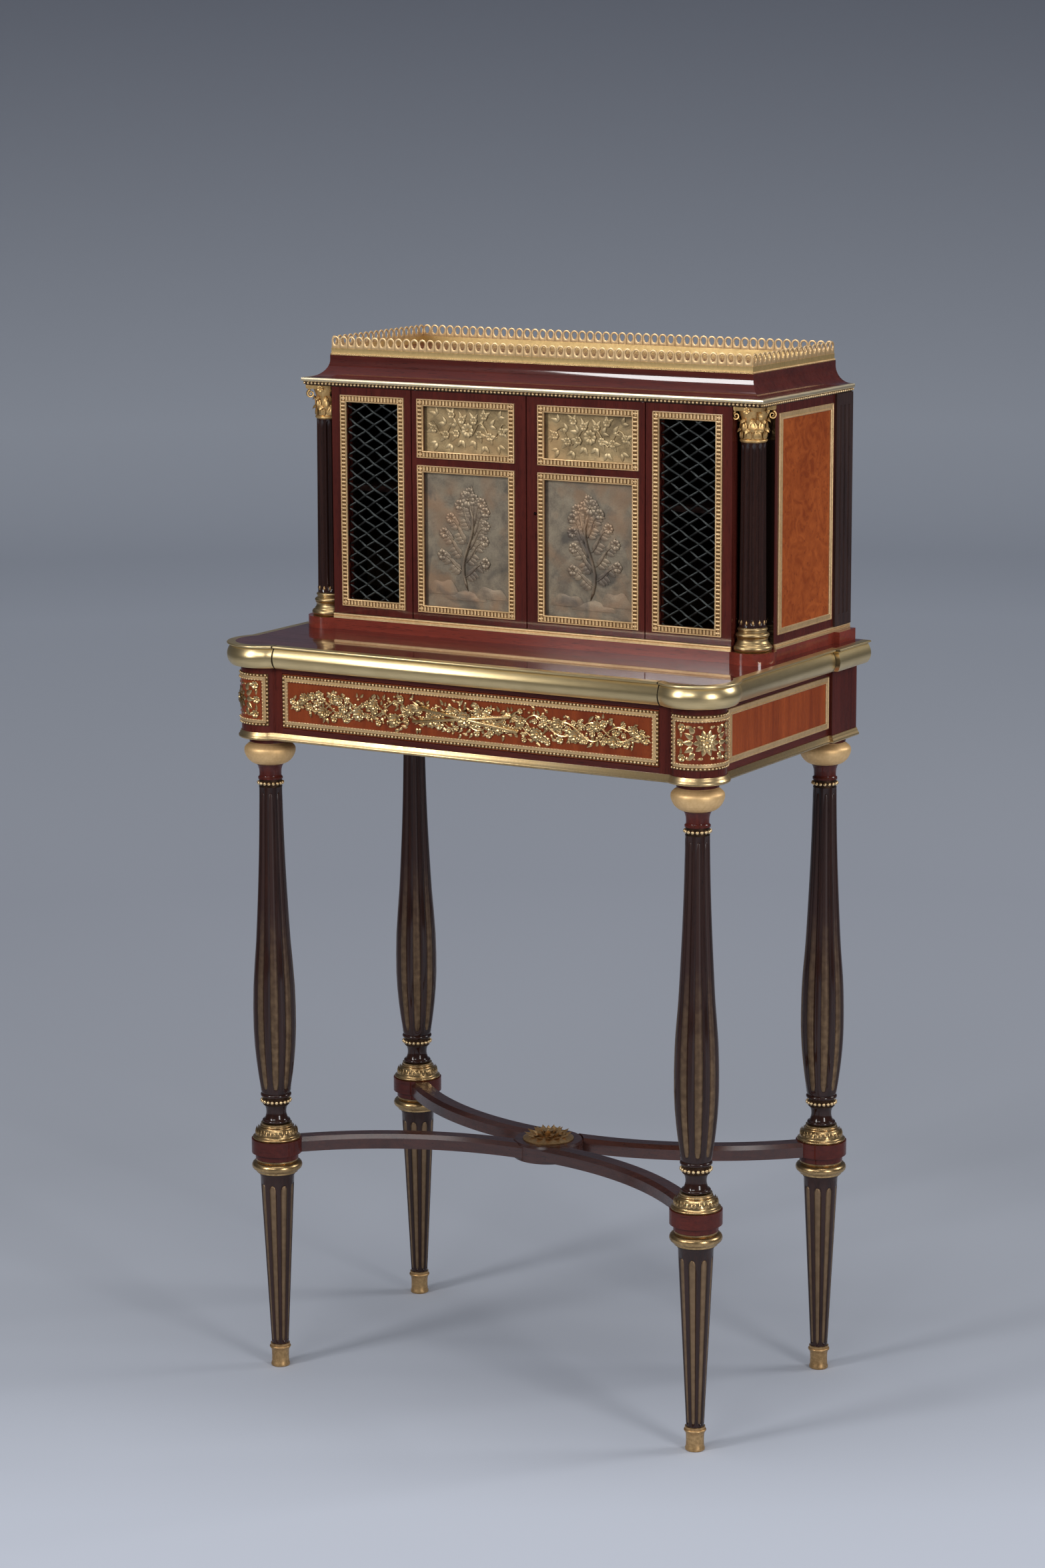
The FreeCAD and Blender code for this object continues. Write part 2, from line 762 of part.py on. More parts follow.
def frieze_form(name, grow, z):
    """The frieze's plan, grown outwards in front and at the sides, between two heights."""
    depth = (frieze_front - grow, back_plane)
    middle = board(name + "_middle", (-half_span, half_span), depth, z)
    wide = (-frieze_side - grow, frieze_side + grow)
    sides = board(name + "_sides", wide, (front_axis, back_plane), z)
    ear = frieze_side + dim.back_post_proud + grow
    ear_y = (back_axis - dim.back_post_depth - grow, back_plane)
    ears = board(name + "_ears", (-ear, ear), ear_y, z)
    right = rod(name + "_right", dim.post_radius + grow, half_span, front_axis, z)
    left = rod(name + "_left", dim.post_radius + grow, -half_span, front_axis, z)
    return fuse(name, middle, sides, ears, right, left)


def make_frieze_mounts():
    """Brass moulding under the frieze, gilt frames on the sides, and mounts on the round posts."""
    z = (z_frieze, z_frieze + dim.base_moulding_height)
    outer = frieze_form("base_moulding_outer", dim.base_moulding_proud, z)
    inner = frieze_form("base_moulding_inner", length(0), z)
    node(cut("base_moulding", outer, inner), "frieze_base_moulding")

    z = (z_frame - frame_height / 2, z_frame + frame_height / 2)
    shell_radius = dim.post_radius + dim.corner_mount_thick
    shell = rod("corner_mount_outer", shell_radius, half_span, front_axis, z)
    core = rod("corner_mount_core", dim.post_radius, half_span, front_axis, z)
    reach = dim.post_radius * 2
    behind = board("corner_mount_behind", (half_span - reach, half_span + reach),
                   (front_axis + dim.post_radius * 0.55, front_axis + reach), z)
    beside = board("corner_mount_beside", (half_span - reach, half_span - dim.post_radius * 0.55),
                   (front_axis - reach, front_axis + reach), z)
    mount = cut("corner_mount", shell, core, behind, beside)
    node(pair("corner_mounts_pair", mount), "corner_mounts")

    start = front_axis + dim.side_frame_start
    end = back_axis - dim.back_post_depth - dim.side_frame_gap
    frieze_frame = flat_frame("frieze_side_frame", frieze_side, (start, end), z)
    cabinet_y = (notch_y + dim.side_thick / 2, back_plane - dim.pilaster_width - 5)
    opening = (z_floor + dim.door_rail, z_cap - dim.door_rail)
    cabinet_z = (opening[0] - dim.frame_lap, opening[1] + dim.frame_lap)
    cabinet_frame = flat_frame("cabinet_side_frame", wall, cabinet_y, cabinet_z)
    right = group("side_frames_right", frieze_frame, cabinet_frame)
    left = mirrored("side_frames_left", right)
    node(group("side_frames_all", right, left), "side_frames")


def flat_frame(name, x, y, z):
    """A gilt picture-frame moulding planted on a side, from plane x outwards."""
    thick = (x, x + dim.gilt_thick)
    bar = dim.gilt_width
    outer = board(name + "_outer", thick, y, z)
    inner = board(name + "_inner", thick, (y[0] + bar, y[1] - bar), (z[0] + bar, z[1] - bar))
    return cut(name, outer, inner)


def front_frame(name, x, z, face, bar):
    """A gilt picture-frame moulding planted on a front, from plane face forwards."""
    thick = (face - dim.gilt_thick, face)
    outer = board(name + "_outer", x, thick, z)
    inner = board(name + "_inner", (x[0] + bar, x[1] - bar), thick, (z[0] + bar, z[1] - bar))
    return cut(name, outer, inner)


def make_drawer():
    """The frieze drawer: veneered front, thin sides, grooved-in bottom, mounts and a lock."""
    opening = half_span - dim.post_width
    gap = dim.drawer_gap
    front_x = opening - gap
    front_back = frieze_front + dim.drawer_front_thick
    front_z = (z_under_rail + gap, z_over_rail - gap)
    side_x = opening - dim.drawer_inset
    inner_x = side_x - dim.drawer_wood_thick
    rear = drawer_rear
    side_low = z_under_rail + dim.runner_play
    side_z = (side_low, z_over_rail - dim.drawer_side_drop)
    bottom_z = side_z[0] + dim.drawer_bottom_rise
    bottom_top = bottom_z + dim.drawer_bottom_thick
    groove = dim.groove_depth
    bottom_x = inner_x + groove
    bottom_y = (front_back - groove, rear)

    panel = board("drawer_bottom_board", (-bottom_x, bottom_x), bottom_y, (bottom_z, bottom_top))
    node(panel, "drawer_bottom")
    housing = board("drawer_groove", (-bottom_x, bottom_x), bottom_y, (bottom_z, bottom_top))

    lock_x = (-dim.lock_width / 2, dim.lock_width / 2)
    lock_y = (front_back - dim.lock_thick, front_back)
    lock_z = (front_z[1] - dim.lock_height, front_z[1])
    keyhole_z = front_z[1] - dim.lock_height * 0.75
    key = (frieze_front - dim.festoon_thick - 1, front_back)
    slab = board("drawer_front_slab", (-front_x, front_x), (frieze_front, front_back), front_z)
    recess = board("drawer_lock_recess", lock_x, lock_y, lock_z)
    keyhole = level_rod("drawer_keyhole", dim.keyhole_radius, 0, key, keyhole_z)
    node(cut("front_of_drawer", slab, housing, recess, keyhole), "drawer_front")
    case = board("drawer_lock_case", lock_x, lock_y, lock_z)
    lock_keyhole = level_rod("lock_keyhole", dim.keyhole_radius, 0, (lock_y[0], lock_y[0] + 3), keyhole_z)
    node(cut("lock_of_drawer", case, lock_keyhole), "drawer_lock")

    side = board("drawer_side_board", (inner_x, side_x), (front_back, rear), side_z)
    node(pair("drawer_sides_pair", cut("drawer_side", side, housing)), "drawer_sides")
    back_y = (rear - dim.drawer_wood_thick, rear)
    back = board("drawer_back_board", (-inner_x, inner_x), back_y, (bottom_top, side_z[1]))
    node(back, "drawer_back")

    frame_z = (z_frame - frame_height / 2, z_frame + frame_height / 2)
    frame = front_frame("drawer_frame", (-front_x, front_x), frame_z, frieze_front, dim.gilt_width)
    node(frame, "drawer_moulding")

    half_length = front_x - dim.gilt_width - dim.festoon_end_gap
    half_height = frame_height / 2 - dim.gilt_width - dim.festoon_margin
    garland = [
        (-half_length, z_frame - dim.festoon_tip_height),
        (0, z_frame - half_height),
        (half_length, z_frame - dim.festoon_tip_height),
        (half_length, z_frame + dim.festoon_tip_height),
        (0, z_frame + half_height),
        (-half_length, z_frame + dim.festoon_tip_height),
    ]
    festoon = extruded("festoon_blank", garland, "Y", dim.leg_span)
    thick = (frieze_front - dim.festoon_thick, frieze_front)
    slice_z = (z_frame - frame_height / 2, z_frame + frame_height / 2)
    layer = board("festoon_layer", (-front_x, front_x), thick, slice_z)
    node(cut("festoon", common("festoon_form", festoon, layer), keyhole), "drawer_festoon")


def top_form(name, inset, z):
    """The writing top's plan, with round ears in front and square ears behind, drawn in by inset."""
    depth = (front_axis - dim.top_front + inset, back_plane)
    middle = board(name + "_middle", (-half_span, half_span), depth, z)
    wide = half_span + dim.top_side - inset
    sides = board(name + "_sides", (-wide, wide), (front_axis, back_plane), z)
    ear = half_span + dim.top_side + dim.ear_back_proud - inset
    ear_y = (back_plane - dim.ear_back_depth + inset, back_plane)
    ears = board(name + "_ears", (-ear, ear), ear_y, z)
    right = rod(name + "_right", dim.ear_radius - inset, half_span, front_axis, z)
    left = rod(name + "_left", dim.ear_radius - inset, -half_span, front_axis, z)
    return fuse(name, middle, sides, ears, right, left)


def make_writing_top():
    """A mahogany panel let into a brass edge that runs round the front and sides."""
    z = (z_top, z_plinth)
    node(top_form("writing_panel", dim.top_edge_width, z), "writing_top")
    outer = top_form("top_edge_outer", length(0), z)
    inner = top_form("top_edge_inner", dim.top_edge_width, z)
    node(cut("top_edge_ring", outer, inner), "top_brass_edge")


def make_cabinet():
    """The cabinet's boards: plinth, bottom, back, sides with recessed corners, divisions, cap."""
    z = (z_plinth, z_bottom)
    out = dim.plinth_proud
    column_x = column_span
    middle = board("plinth_middle", (-column_x, column_x), (door_front - out, back_plane), z)
    sides = board("plinth_sides", (-wall - out, wall + out), (column_axis, back_plane), z)
    block = column_x + dim.pedestal_radius
    block_y = (back_plane - dim.pilaster_width, back_plane)
    blocks = board("plinth_blocks", (-block, block), block_y, z)
    right = rod("pedestal_right", dim.pedestal_radius, column_x, column_axis, z)
    left = rod("pedestal_left", dim.pedestal_radius, -column_x, column_axis, z)
    node(fuse("plinth_board", middle, sides, blocks, right, left), "cabinet_plinth")

    z = (z_bottom, z_floor)
    slab = board("bottom_slab", (-wall, wall), (door_front, back_plane), z)
    right_notch = board("bottom_notch_right", (notch_x, wall), (door_front, notch_y), z)
    left_notch = board("bottom_notch_left", (-wall, -notch_x), (door_front, notch_y), z)
    pins = door_pins("bottom_pin_holes", (z_floor - dim.pivot_length, z_floor), dim.pivot_radius)
    node(cut("bottom_board", slab, right_notch, left_notch, pins), "cabinet_bottom")

    out = dim.strip_proud
    front_strip = board("front_strip", (-notch_x, notch_x), (door_front - out, door_front), z)
    side_strip = board("side_strip", (wall, wall + out), (notch_y, back_plane), z)
    left_strip = mirrored("side_strip_left", side_strip)
    node(group("strips", front_strip, side_strip, left_strip), "foot_strip")

    z = (z_floor, z_cap)
    inside = wall - dim.side_thick
    node(board("back_board", (-inside, inside), (back_plane - dim.back_thick, back_plane), z), "cabinet_back")
    flank = board("side_board", (inside, wall), (notch_y, back_plane), z)
    corner_x = notch_x - dim.corner_thick
    corner_y = notch_y + dim.side_thick
    turn = board("corner_return", (corner_x, wall), (notch_y, corner_y), z)
    front_of_side = door_back + dim.door_back_gap
    post = board("corner_post", (corner_x, notch_x), (front_of_side, corner_y), z)
    node(pair("sides_pair", fuse("side_right", flank, turn, post)), "cabinet_sides")

    half = dim.partition_thick / 2
    run = (front_of_side, back_plane - dim.back_thick)
    partition_x = (partition_span - half, partition_span + half)
    node(pair("partitions_pair", board("partition", partition_x, run, z)), "partitions")

    shelf_z = (z_floor + dim.shelf_rise, z_floor + dim.shelf_rise + dim.shelf_thick)
    fore = board("side_shelf_fore", (partition_x[1], corner_x), (run[0], corner_y), shelf_z)
    aft = board("side_shelf_aft", (partition_x[1], inside), (corner_y, run[1]), shelf_z)
    right_shelf = fuse("shelf_right", fore, aft)
    left_shelf = mirrored("shelf_left", right_shelf)
    centre_shelf = board("shelf_centre", (-partition_x[0], partition_x[0]), run, shelf_z)
    node(group("shelves_all", right_shelf, left_shelf, centre_shelf), "shelves")

    slab = board("cap_slab", (-wall, wall), (door_front, back_plane), (z_cap, z_cove))
    pins = door_pins("cap_pin_holes", (z_cap, z_cap + dim.pivot_length), dim.pivot_radius)
    node(cut("cap_board", slab, pins), "cabinet_cap")

    column = (back_plane - dim.pilaster_width, back_plane)
    face = wall + dim.pilaster_proud
    strip = board("pilaster_strip", (wall, face), column, z)
    flute = dim.flute_radius * 0.8
    centre = face + flute * 0.6
    flute_z = (z_floor + 12, z_cap - 12)
    step = dim.pilaster_width / 4
    flutes = [rod(f"pilaster_flute_{place_in_row}", flute, centre, column[0] + step * place_in_row, flute_z)
              for place_in_row in (1, 2, 3)]
    node(pair("pilasters_pair", cut("pilaster", strip, *flutes)), "pilasters")


def make_columns():
    """Three-quarter columns in the corner recesses: fluted shafts between gilt bases and capitals."""
    x = column_span
    z_shaft = z_bottom + dim.base_height
    z_capital = z_cap - dim.capital_height
    foot = dim.base_radius
    step = dim.base_height / 24
    recess_x = (notch_x + dim.column_clear, wall + dim.cornice_proud)
    recess_y = (door_front - dim.cornice_proud, notch_y)
    base_profile = [
        (0, z_bottom),
        (foot - step * 3, z_bottom),
        (foot, z_bottom + step * 3.5, step * 3.6, True),
        (foot - step * 3, z_bottom + step * 7, step * 3.6, True),
        (foot - step * 4, z_bottom + step * 12, step * 4, False),
        (foot - step * 2.2, z_bottom + step * 14.5, step * 2.6, True),
        (foot - step * 4, z_bottom + step * 17, step * 2.6, True),
        (dim.shaft_foot_radius + 1, z_shaft),
        (0, z_shaft),
    ]
    base = turned("column_base_round", base_profile, x, column_axis)
    recess = board("base_recess", recess_x, recess_y, (z_bottom, z_shaft))
    node(pair("column_bases_pair", common("column_base", base, recess)), "column_bases")

    shaft_profile = [
        (0, z_shaft),
        (dim.shaft_foot_radius, z_shaft),
        (dim.shaft_top_radius, z_capital),
        (0, z_capital),
    ]
    shaft = turned("shaft_right", shaft_profile, x, column_axis)
    flute_sketch = shaft.newObject("Sketcher::SketchObject", "flute_round")
    plane = next(item for item in shaft.Origin.OriginFeatures if item.Role == "XY_Plane")
    flute_sketch.AttachmentSupport = [(plane, "")]
    flute_sketch.MapMode = "FlatFace"
    centre = FreeCAD.Vector(dim.flute_reach.number, 0, 0)
    circle = Part.Circle(centre, FreeCAD.Vector(0, 0, 1), dim.flute_radius.number)
    edge = flute_sketch.addGeometry(circle)
    flute_sketch.addConstraint(Sketcher.Constraint("PointOnObject", edge, 3, -1))
    at = flute_sketch.addConstraint(Sketcher.Constraint("DistanceX", -1, 1, edge, 3, centre.x))
    flute_sketch.setExpression(f"Constraints[{at}]", dim.flute_reach.text)
    at = flute_sketch.addConstraint(Sketcher.Constraint("Radius", edge, dim.flute_radius.number))
    flute_sketch.setExpression(f"Constraints[{at}]", dim.flute_radius.text)
    flute = shaft.newObject("PartDesign::Pocket", "flute")
    flute.Profile = flute_sketch
    flute.Type = "Length"
    flute.Reversed = True
    bind(flute, "Length", z_capital + dim.capital_height)
    ring = shaft.newObject("PartDesign::PolarPattern", "flutes")
    ring.Originals = [flute]
    ring.Axis = (flute_sketch, ["N_Axis"])
    ring.Angle = 360
    ring.Occurrences = 12
    shaft.Tip = ring
    node(pair("column_shafts_pair", shaft), "column_shafts")

    abacus_z = z_cap - dim.abacus_thick
    bell_profile = [
        (0, z_capital),
        (dim.capital_foot_radius, z_capital),
        (dim.capital_foot_radius + 1, z_capital + 3),
        (dim.capital_foot_radius, z_capital + 6),
        (dim.capital_bell_radius, abacus_z, dim.capital_height * 0.9, False),
        (0, abacus_z),
    ]
    bell = turned("capital_bell", bell_profile, x, column_axis)
    reach = dim.abacus_half
    abacus = board("capital_abacus", (x - reach, x + reach), (column_axis - reach, column_axis + reach),
                   (abacus_z, z_cap))
    recess = board("capital_recess", recess_x, recess_y, (z_capital, z_cap))
    capital = common("column_capital", fuse("capital_round", bell, abacus), recess)
    node(pair("column_capitals_pair", capital), "column_capitals")


def make_cornice():
    """Gilt moulding round the cap, a hollow mahogany cove above it, and the pierced gallery."""
    def skirt(name, out, z):
        outer = board(name + "_outer", (-wall - out, wall + out), (door_front - out, back_plane), z)
        inner = board(name + "_inner", (-wall, wall), (door_front, back_plane), z)
        return cut(name, outer, inner)

    z_step = z_cap + dim.cornice_bead_height
    beads = skirt("cornice_beads", dim.cornice_bead_proud, (z_cap, z_step))
    fillet = skirt("cornice_fillet", dim.cornice_proud, (z_step, z_cove))
    node(fuse("cornice_ring", beads, fillet), "cornice_moulding")

    arc = dim.cove_radius
    z_arc = z_cove + arc
    top_x = wall - arc
    top_front = door_front + arc
    across = [
        (wall, z_cove),
        (top_x, z_arc, arc, False),
        (top_x, z_gallery),
        (-top_x, z_gallery),
        (-top_x, z_arc),
        (-wall, z_cove, arc, False),
    ]
    along = [
        (back_plane, z_cove),
        (back_plane, z_gallery),
        (top_front, z_gallery),
        (top_front, z_arc),
        (door_front, z_cove, arc, False),
    ]
    cove = common("cove_form", extruded("cove_across", across, "Y", dim.leg_span),
                  extruded("cove_along", along, "X", dim.leg_span))
    room_x = top_x - dim.cove_wall
    room_y = (top_front + dim.cove_wall, back_plane - dim.cove_wall)
    room = board("cove_room", (-room_x, room_x), room_y, (z_cove, z_gallery - dim.deck_thick))
    node(cut("cove", cove, room), "cornice_cove")

    gallery_x = top_x - dim.gallery_inset
    gallery_front = top_front + dim.gallery_inset
    gallery_back = back_plane - dim.gallery_inset
    thick = dim.gallery_thick.number
    across_run = gallery_run(2 * gallery_x.number)
    depth = gallery_back.number - gallery_front.number - 2 * thick
    along_run = gallery_run(depth)
    turn = FreeCAD.Rotation(FreeCAD.Vector(0, 0, 1), 90)
    middle = (gallery_back.number + gallery_front.number) / 2
    height = z_gallery.number
    runs = []
    for shape, rotation, at_x, at_y in (
        (across_run, FreeCAD.Rotation(), 0, gallery_front.number + thick),
        (across_run, FreeCAD.Rotation(), 0, gallery_back.number),
        (along_run, turn, gallery_x.number - thick, middle),
        (along_run, turn, -gallery_x.number, middle),
    ):
        run = shape.copy()
        run.Placement = FreeCAD.Placement(FreeCAD.Vector(at_x, at_y, height), rotation)
        runs.append(run)
    gallery = doc.addObject("Part::Feature", "gallery_runs")
    gallery.Shape = Part.makeCompound(runs)
    node(gallery, "gallery")


def gallery_run(run_length):
    """One straight length of gallery: a plain foot under a row of arches, centred on X."""
    count = round(run_length / dim.gallery_pitch.number)
    pitch = run_length / count
    foot = dim.gallery_foot.number
    outer = pitch / 2
    inner = outer - dim.gallery_wire.number / 2
    spring = dim.gallery_height.number - outer
    left = -run_length / 2

    def point(across, up):
        return FreeCAD.Vector(across, 0, up)

    edges = [
        Part.LineSegment(point(left, spring), point(left, 0)).toShape(),
        Part.LineSegment(point(left, 0), point(-left, 0)).toShape(),
        Part.LineSegment(point(-left, 0), point(-left, spring)).toShape(),
    ]
    holes = []
    for index in range(count):
        centre = left + (index + 0.5) * pitch
        crown = Part.Arc(point(centre - outer, spring), point(centre, spring + outer),
                         point(centre + outer, spring))
        edges.append(crown.toShape())
        arch = Part.Arc(point(centre - inner, spring), point(centre, spring + inner),
                        point(centre + inner, spring))
        hole = [
            arch.toShape(),
            Part.LineSegment(point(centre + inner, spring), point(centre + inner, foot)).toShape(),
            Part.LineSegment(point(centre + inner, foot), point(centre - inner, foot)).toShape(),
            Part.LineSegment(point(centre - inner, foot), point(centre - inner, spring)).toShape(),
        ]
        holes.append(Part.Wire(Part.__sortEdges__(hole)))
    outline = Part.Wire(Part.__sortEdges__(edges))
    face = Part.makeFace([outline] + holes, "Part::FaceMakerBullseye")
    return face.extrude(FreeCAD.Vector(0, -dim.gallery_thick.number, 0))


# Doors. The grille doors hang beside the columns, the panelled doors meet in the middle.
wire_door = (partition_span + dim.door_meeting_gap / 2, notch_x)
panel_door = (dim.door_meeting_gap / 2, partition_span - dim.door_meeting_gap / 2)
wire_pivot = notch_x - dim.pivot_inset
panel_pivot = panel_door[1] - dim.pivot_inset
pivot_y = door_front + dim.pivot_depth
door_z = (z_floor + dim.door_gap, z_cap - dim.door_gap)


def door_pins(name, z, radius):
    """Four upright rounds on the doors' pivot axes."""
    spots = (-wire_pivot, -panel_pivot, panel_pivot, wire_pivot)
    pins = (rod(f"{name}_{index}", radius, spot, pivot_y, z) for index, spot in enumerate(spots))
    return group(name, *pins)


def hung_blank(name, x, hinge_side):
    """A door slab with a socket for a pin at each end of its hinge edge."""
    slab = board(name + "_slab", x, (door_front, door_back), door_z)
    pivot = x[1] - dim.pivot_inset if hinge_side == "high" else x[0] + dim.pivot_inset
    socket = dim.pivot_radius + dim.pivot_play
    depth = dim.pivot_length + dim.door_gap
    low = rod(name + "_low_socket", socket, pivot, pivot_y, (door_z[0], door_z[0] + depth))
    high = rod(name + "_high_socket", socket, pivot, pivot_y, (door_z[1] - depth, door_z[1]))
    return cut(name + "_hung", slab, low, high)


def sided(x, side):
    """A span on the right of the desk, or its mirror on the left."""
    return x if side == "right" else (-x[1], -x[0])


def make_wire_door(side):
    """A grille door: mahogany frame, gilt moulding, and a brass lattice behind it."""
    hinge = "high" if side == "right" else "low"
    blank = hung_blank(f"{side}_wire", sided(wire_door, side), hinge)
    open_x = sided((wire_door[0] + dim.wire_inner_stile, wire_door[1] - dim.wire_stile), side)
    open_z = (z_floor + dim.door_rail, z_cap - dim.door_rail)
    window = board(f"{side}_wire_window", open_x, (door_front, door_back), open_z)
    node(cut(f"{side}_wire_wood", blank, window), f"{side}_wire_door_frame")

    lap = dim.frame_lap
    frame_x = (open_x[0] - lap, open_x[1] + lap)
    frame_z = (open_z[0] - lap, open_z[1] + lap)
    frame = front_frame(f"{side}_wire_gilt", frame_x, frame_z, door_front, lap + dim.frame_lip)
    lattice = doc.addObject("Part::Feature", f"{side}_lattice")
    low = (open_x[0].number, open_z[0].number)
    high = (open_x[1].number, open_z[1].number)
    lattice.Shape = lattice_panel(low, high, (door_front + dim.grille_inset).number)
    node(group(f"{side}_wire_brass", frame, lattice), f"{side}_wire_door_grille")


def lattice_panel(low, high, face):
    """A diamond lattice with a narrow border, between two corners, from plane face backwards."""
    pitch_x = dim.grille_pitch_x.number
    pitch_z = dim.grille_pitch_z.number
    wire = dim.grille_wire.number
    border = dim.grille_border.number
    thick = dim.grille_thick.number
    width = high[0] - low[0]
    height = high[1] - low[1]
    sheet_metal = Part.makeBox(width, thick, height, FreeCAD.Vector(low[0], face, low[1]))
    field = Part.makeBox(width - 2 * border, thick, height - 2 * border,
                         FreeCAD.Vector(low[0] + border, face, low[1] + border))
    slant = math.hypot(pitch_x, pitch_z)
    half_x = pitch_x / 2 - wire * slant / pitch_z / 2
    half_z = pitch_z / 2 - wire * slant / pitch_x / 2
    centre_x = (low[0] + high[0]) / 2
    centre_z = (low[1] + high[1]) / 2
    columns = math.ceil(width / pitch_x)
    rows = math.ceil(height / pitch_z)
    meshes = []
    for across in range(-columns, columns + 1):
        for up in range(-rows, rows + 1):
            if (across + up) % 2:
                continue
            x = centre_x + across * pitch_x / 2
            z = centre_z + up * pitch_z / 2
            corners = ((x - half_x, z), (x, z + half_z), (x + half_x, z), (x, z - half_z), (x - half_x, z))
            wire_loop = Part.makePolygon([FreeCAD.Vector(px, face, pz) for px, pz in corners])
            meshes.append(Part.Face(wire_loop).extrude(FreeCAD.Vector(0, thick, 0)))
    return sheet_metal.cut(field.common(Part.makeCompound(meshes)))


def make_panel_door(side):
    """A panelled door: mahogany frame, two gilt mouldings, and two chased plaques behind them."""
    hinge = "high" if side == "right" else "low"
    blank = hung_blank(f"{side}_panel", sided(panel_door, side), hinge)
    open_x = sided((panel_door[0] + dim.panel_stile, panel_door[1] - dim.panel_hinge_stile), side)
    top = z_cap - dim.door_rail
    upper_z = (top - dim.panel_top_height, top)
    lower_z = (z_floor + dim.door_rail, upper_z[0] - dim.panel_rail)
    upper = board(f"{side}_panel_upper_window", open_x, (door_front, door_back), upper_z)
    lower = board(f"{side}_panel_lower_window", open_x, (door_front, door_back), lower_z)
    waste = [upper, lower]
    if side == "right":
        waste += door_lock_recess()
    node(cut(f"{side}_panel_wood", blank, *waste), f"{side}_panel_door_frame")

    lap = dim.frame_lap
    frame_x = (open_x[0] - lap, open_x[1] + lap)
    bar = lap + dim.frame_lip
    upper_frame_z = (upper_z[0] - lap, upper_z[1] + lap)
    lower_frame_z = (lower_z[0] - lap, lower_z[1] + lap)
    upper_gilt = front_frame(f"{side}_upper_gilt", frame_x, upper_frame_z, door_front, bar)
    lower_gilt = front_frame(f"{side}_lower_gilt", frame_x, lower_frame_z, door_front, bar)
    node(group(f"{side}_panel_gilt", upper_gilt, lower_gilt), f"{side}_panel_door_mouldings")

    plaque_y = (door_front + dim.plaque_inset, door_front + dim.plaque_inset + dim.plaque_thick)
    upper_plaque = board(f"{side}_upper_plaque", open_x, plaque_y, upper_z)
    lower_plaque = board(f"{side}_lower_plaque", open_x, plaque_y, lower_z)
    node(group(f"{side}_panel_plaques", upper_plaque, lower_plaque), f"{side}_panel_door_plaques")


def door_lock_space():
    """Where the lock case lies in the meeting stile of the right panelled door."""
    x = (panel_door[0] + dim.door_lock_inset, panel_door[0] + dim.door_lock_inset + dim.door_lock_width)
    y = (door_back - dim.door_lock_thick, door_back)
    middle = (z_floor + z_cap) / 2
    z = (middle - dim.door_lock_height / 2, middle + dim.door_lock_height / 2)
    return x, y, z


def door_lock_recess():
    """The housing for the lock case, and the keyhole in front of it."""
    x, y, z = door_lock_space()
    housing = board("door_lock_housing", x, y, z)
    middle_x = (x[0] + x[1]) / 2
    middle_z = (z[0] + z[1]) / 2
    keyhole = level_rod("door_keyhole", dim.keyhole_radius, middle_x, (door_front, y[0]), middle_z)
    return [housing, keyhole]


def make_door_fittings():
    """The panelled doors' lock case, and the steel pins that all four doors turn on."""
    node(board("door_lock_case", *door_lock_space()), "door_lock")
    reach = dim.pivot_length * 2 + dim.door_gap
    pin_foot = z_floor - dim.pivot_length
    pin_head = z_cap + dim.pivot_length
    low = door_pins("low_pins", (pin_foot, pin_foot + reach), dim.pivot_radius)
    high = door_pins("high_pins", (pin_head - reach, pin_head), dim.pivot_radius)
    node(group("all_pins", low, high), "door_pivot_pins")


make_sabots()
make_feet()
make_stems()
make_necks()
make_leg_mounts()
make_stretcher()
make_posts()
make_frieze_rails()
make_frieze_mounts()
make_drawer()
make_writing_top()
make_cabinet()
make_columns()
make_cornice()
for hand in ("left", "right"):
    make_wire_door(hand)
    make_panel_door(hand)
make_door_fittings()

doc.recompute()

for thing in doc.Objects:
    faults = [state for state in thing.State if state in ("Invalid", "Error")]
    if faults:
        raise RuntimeError(f"{thing.Label} did not build: {faults}")

os.makedirs("parts", exist_ok=True)
for thing in NODES:
    shape = thing.Shape
    if shape.isNull() or not shape.isValid() or not shape.Solids:
        raise RuntimeError(f"{thing.Label} has no sound shape")
    shape.exportStep(f"parts/{thing.Label}.step")
    print(f"{thing.Label}: {len(shape.Solids)} solid(s), {shape.Volume / 1000:.2f} cm3")
print(len(NODES), "nodes")
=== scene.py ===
"""A bonheur du jour in mahogany with gilt bronze mounts: a small writing table on fluted legs with a
low cabinet of four doors on its top. Metres, origin on the floor, the front towards -Y."""

import math
import random

import bmesh
import bpy
from mathutils import Euler, Matrix, Vector


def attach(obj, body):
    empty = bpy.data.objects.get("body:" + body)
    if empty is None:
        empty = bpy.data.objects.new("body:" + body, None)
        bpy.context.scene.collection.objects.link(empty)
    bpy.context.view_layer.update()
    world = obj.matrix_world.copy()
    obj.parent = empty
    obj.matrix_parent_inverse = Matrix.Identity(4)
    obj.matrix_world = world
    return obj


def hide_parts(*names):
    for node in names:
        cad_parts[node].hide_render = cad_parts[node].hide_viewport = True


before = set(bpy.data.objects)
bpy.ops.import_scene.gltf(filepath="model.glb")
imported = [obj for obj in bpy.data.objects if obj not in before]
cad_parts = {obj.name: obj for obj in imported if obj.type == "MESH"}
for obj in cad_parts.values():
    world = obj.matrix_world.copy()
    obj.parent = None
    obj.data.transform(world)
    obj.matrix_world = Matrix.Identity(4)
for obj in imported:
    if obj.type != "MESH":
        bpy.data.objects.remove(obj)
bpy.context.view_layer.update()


# Camera: it stands to the right of the desk at eye height, looks a little down, and takes the
# whole desk in with a long lens, so that its upright lines stay nearly parallel.

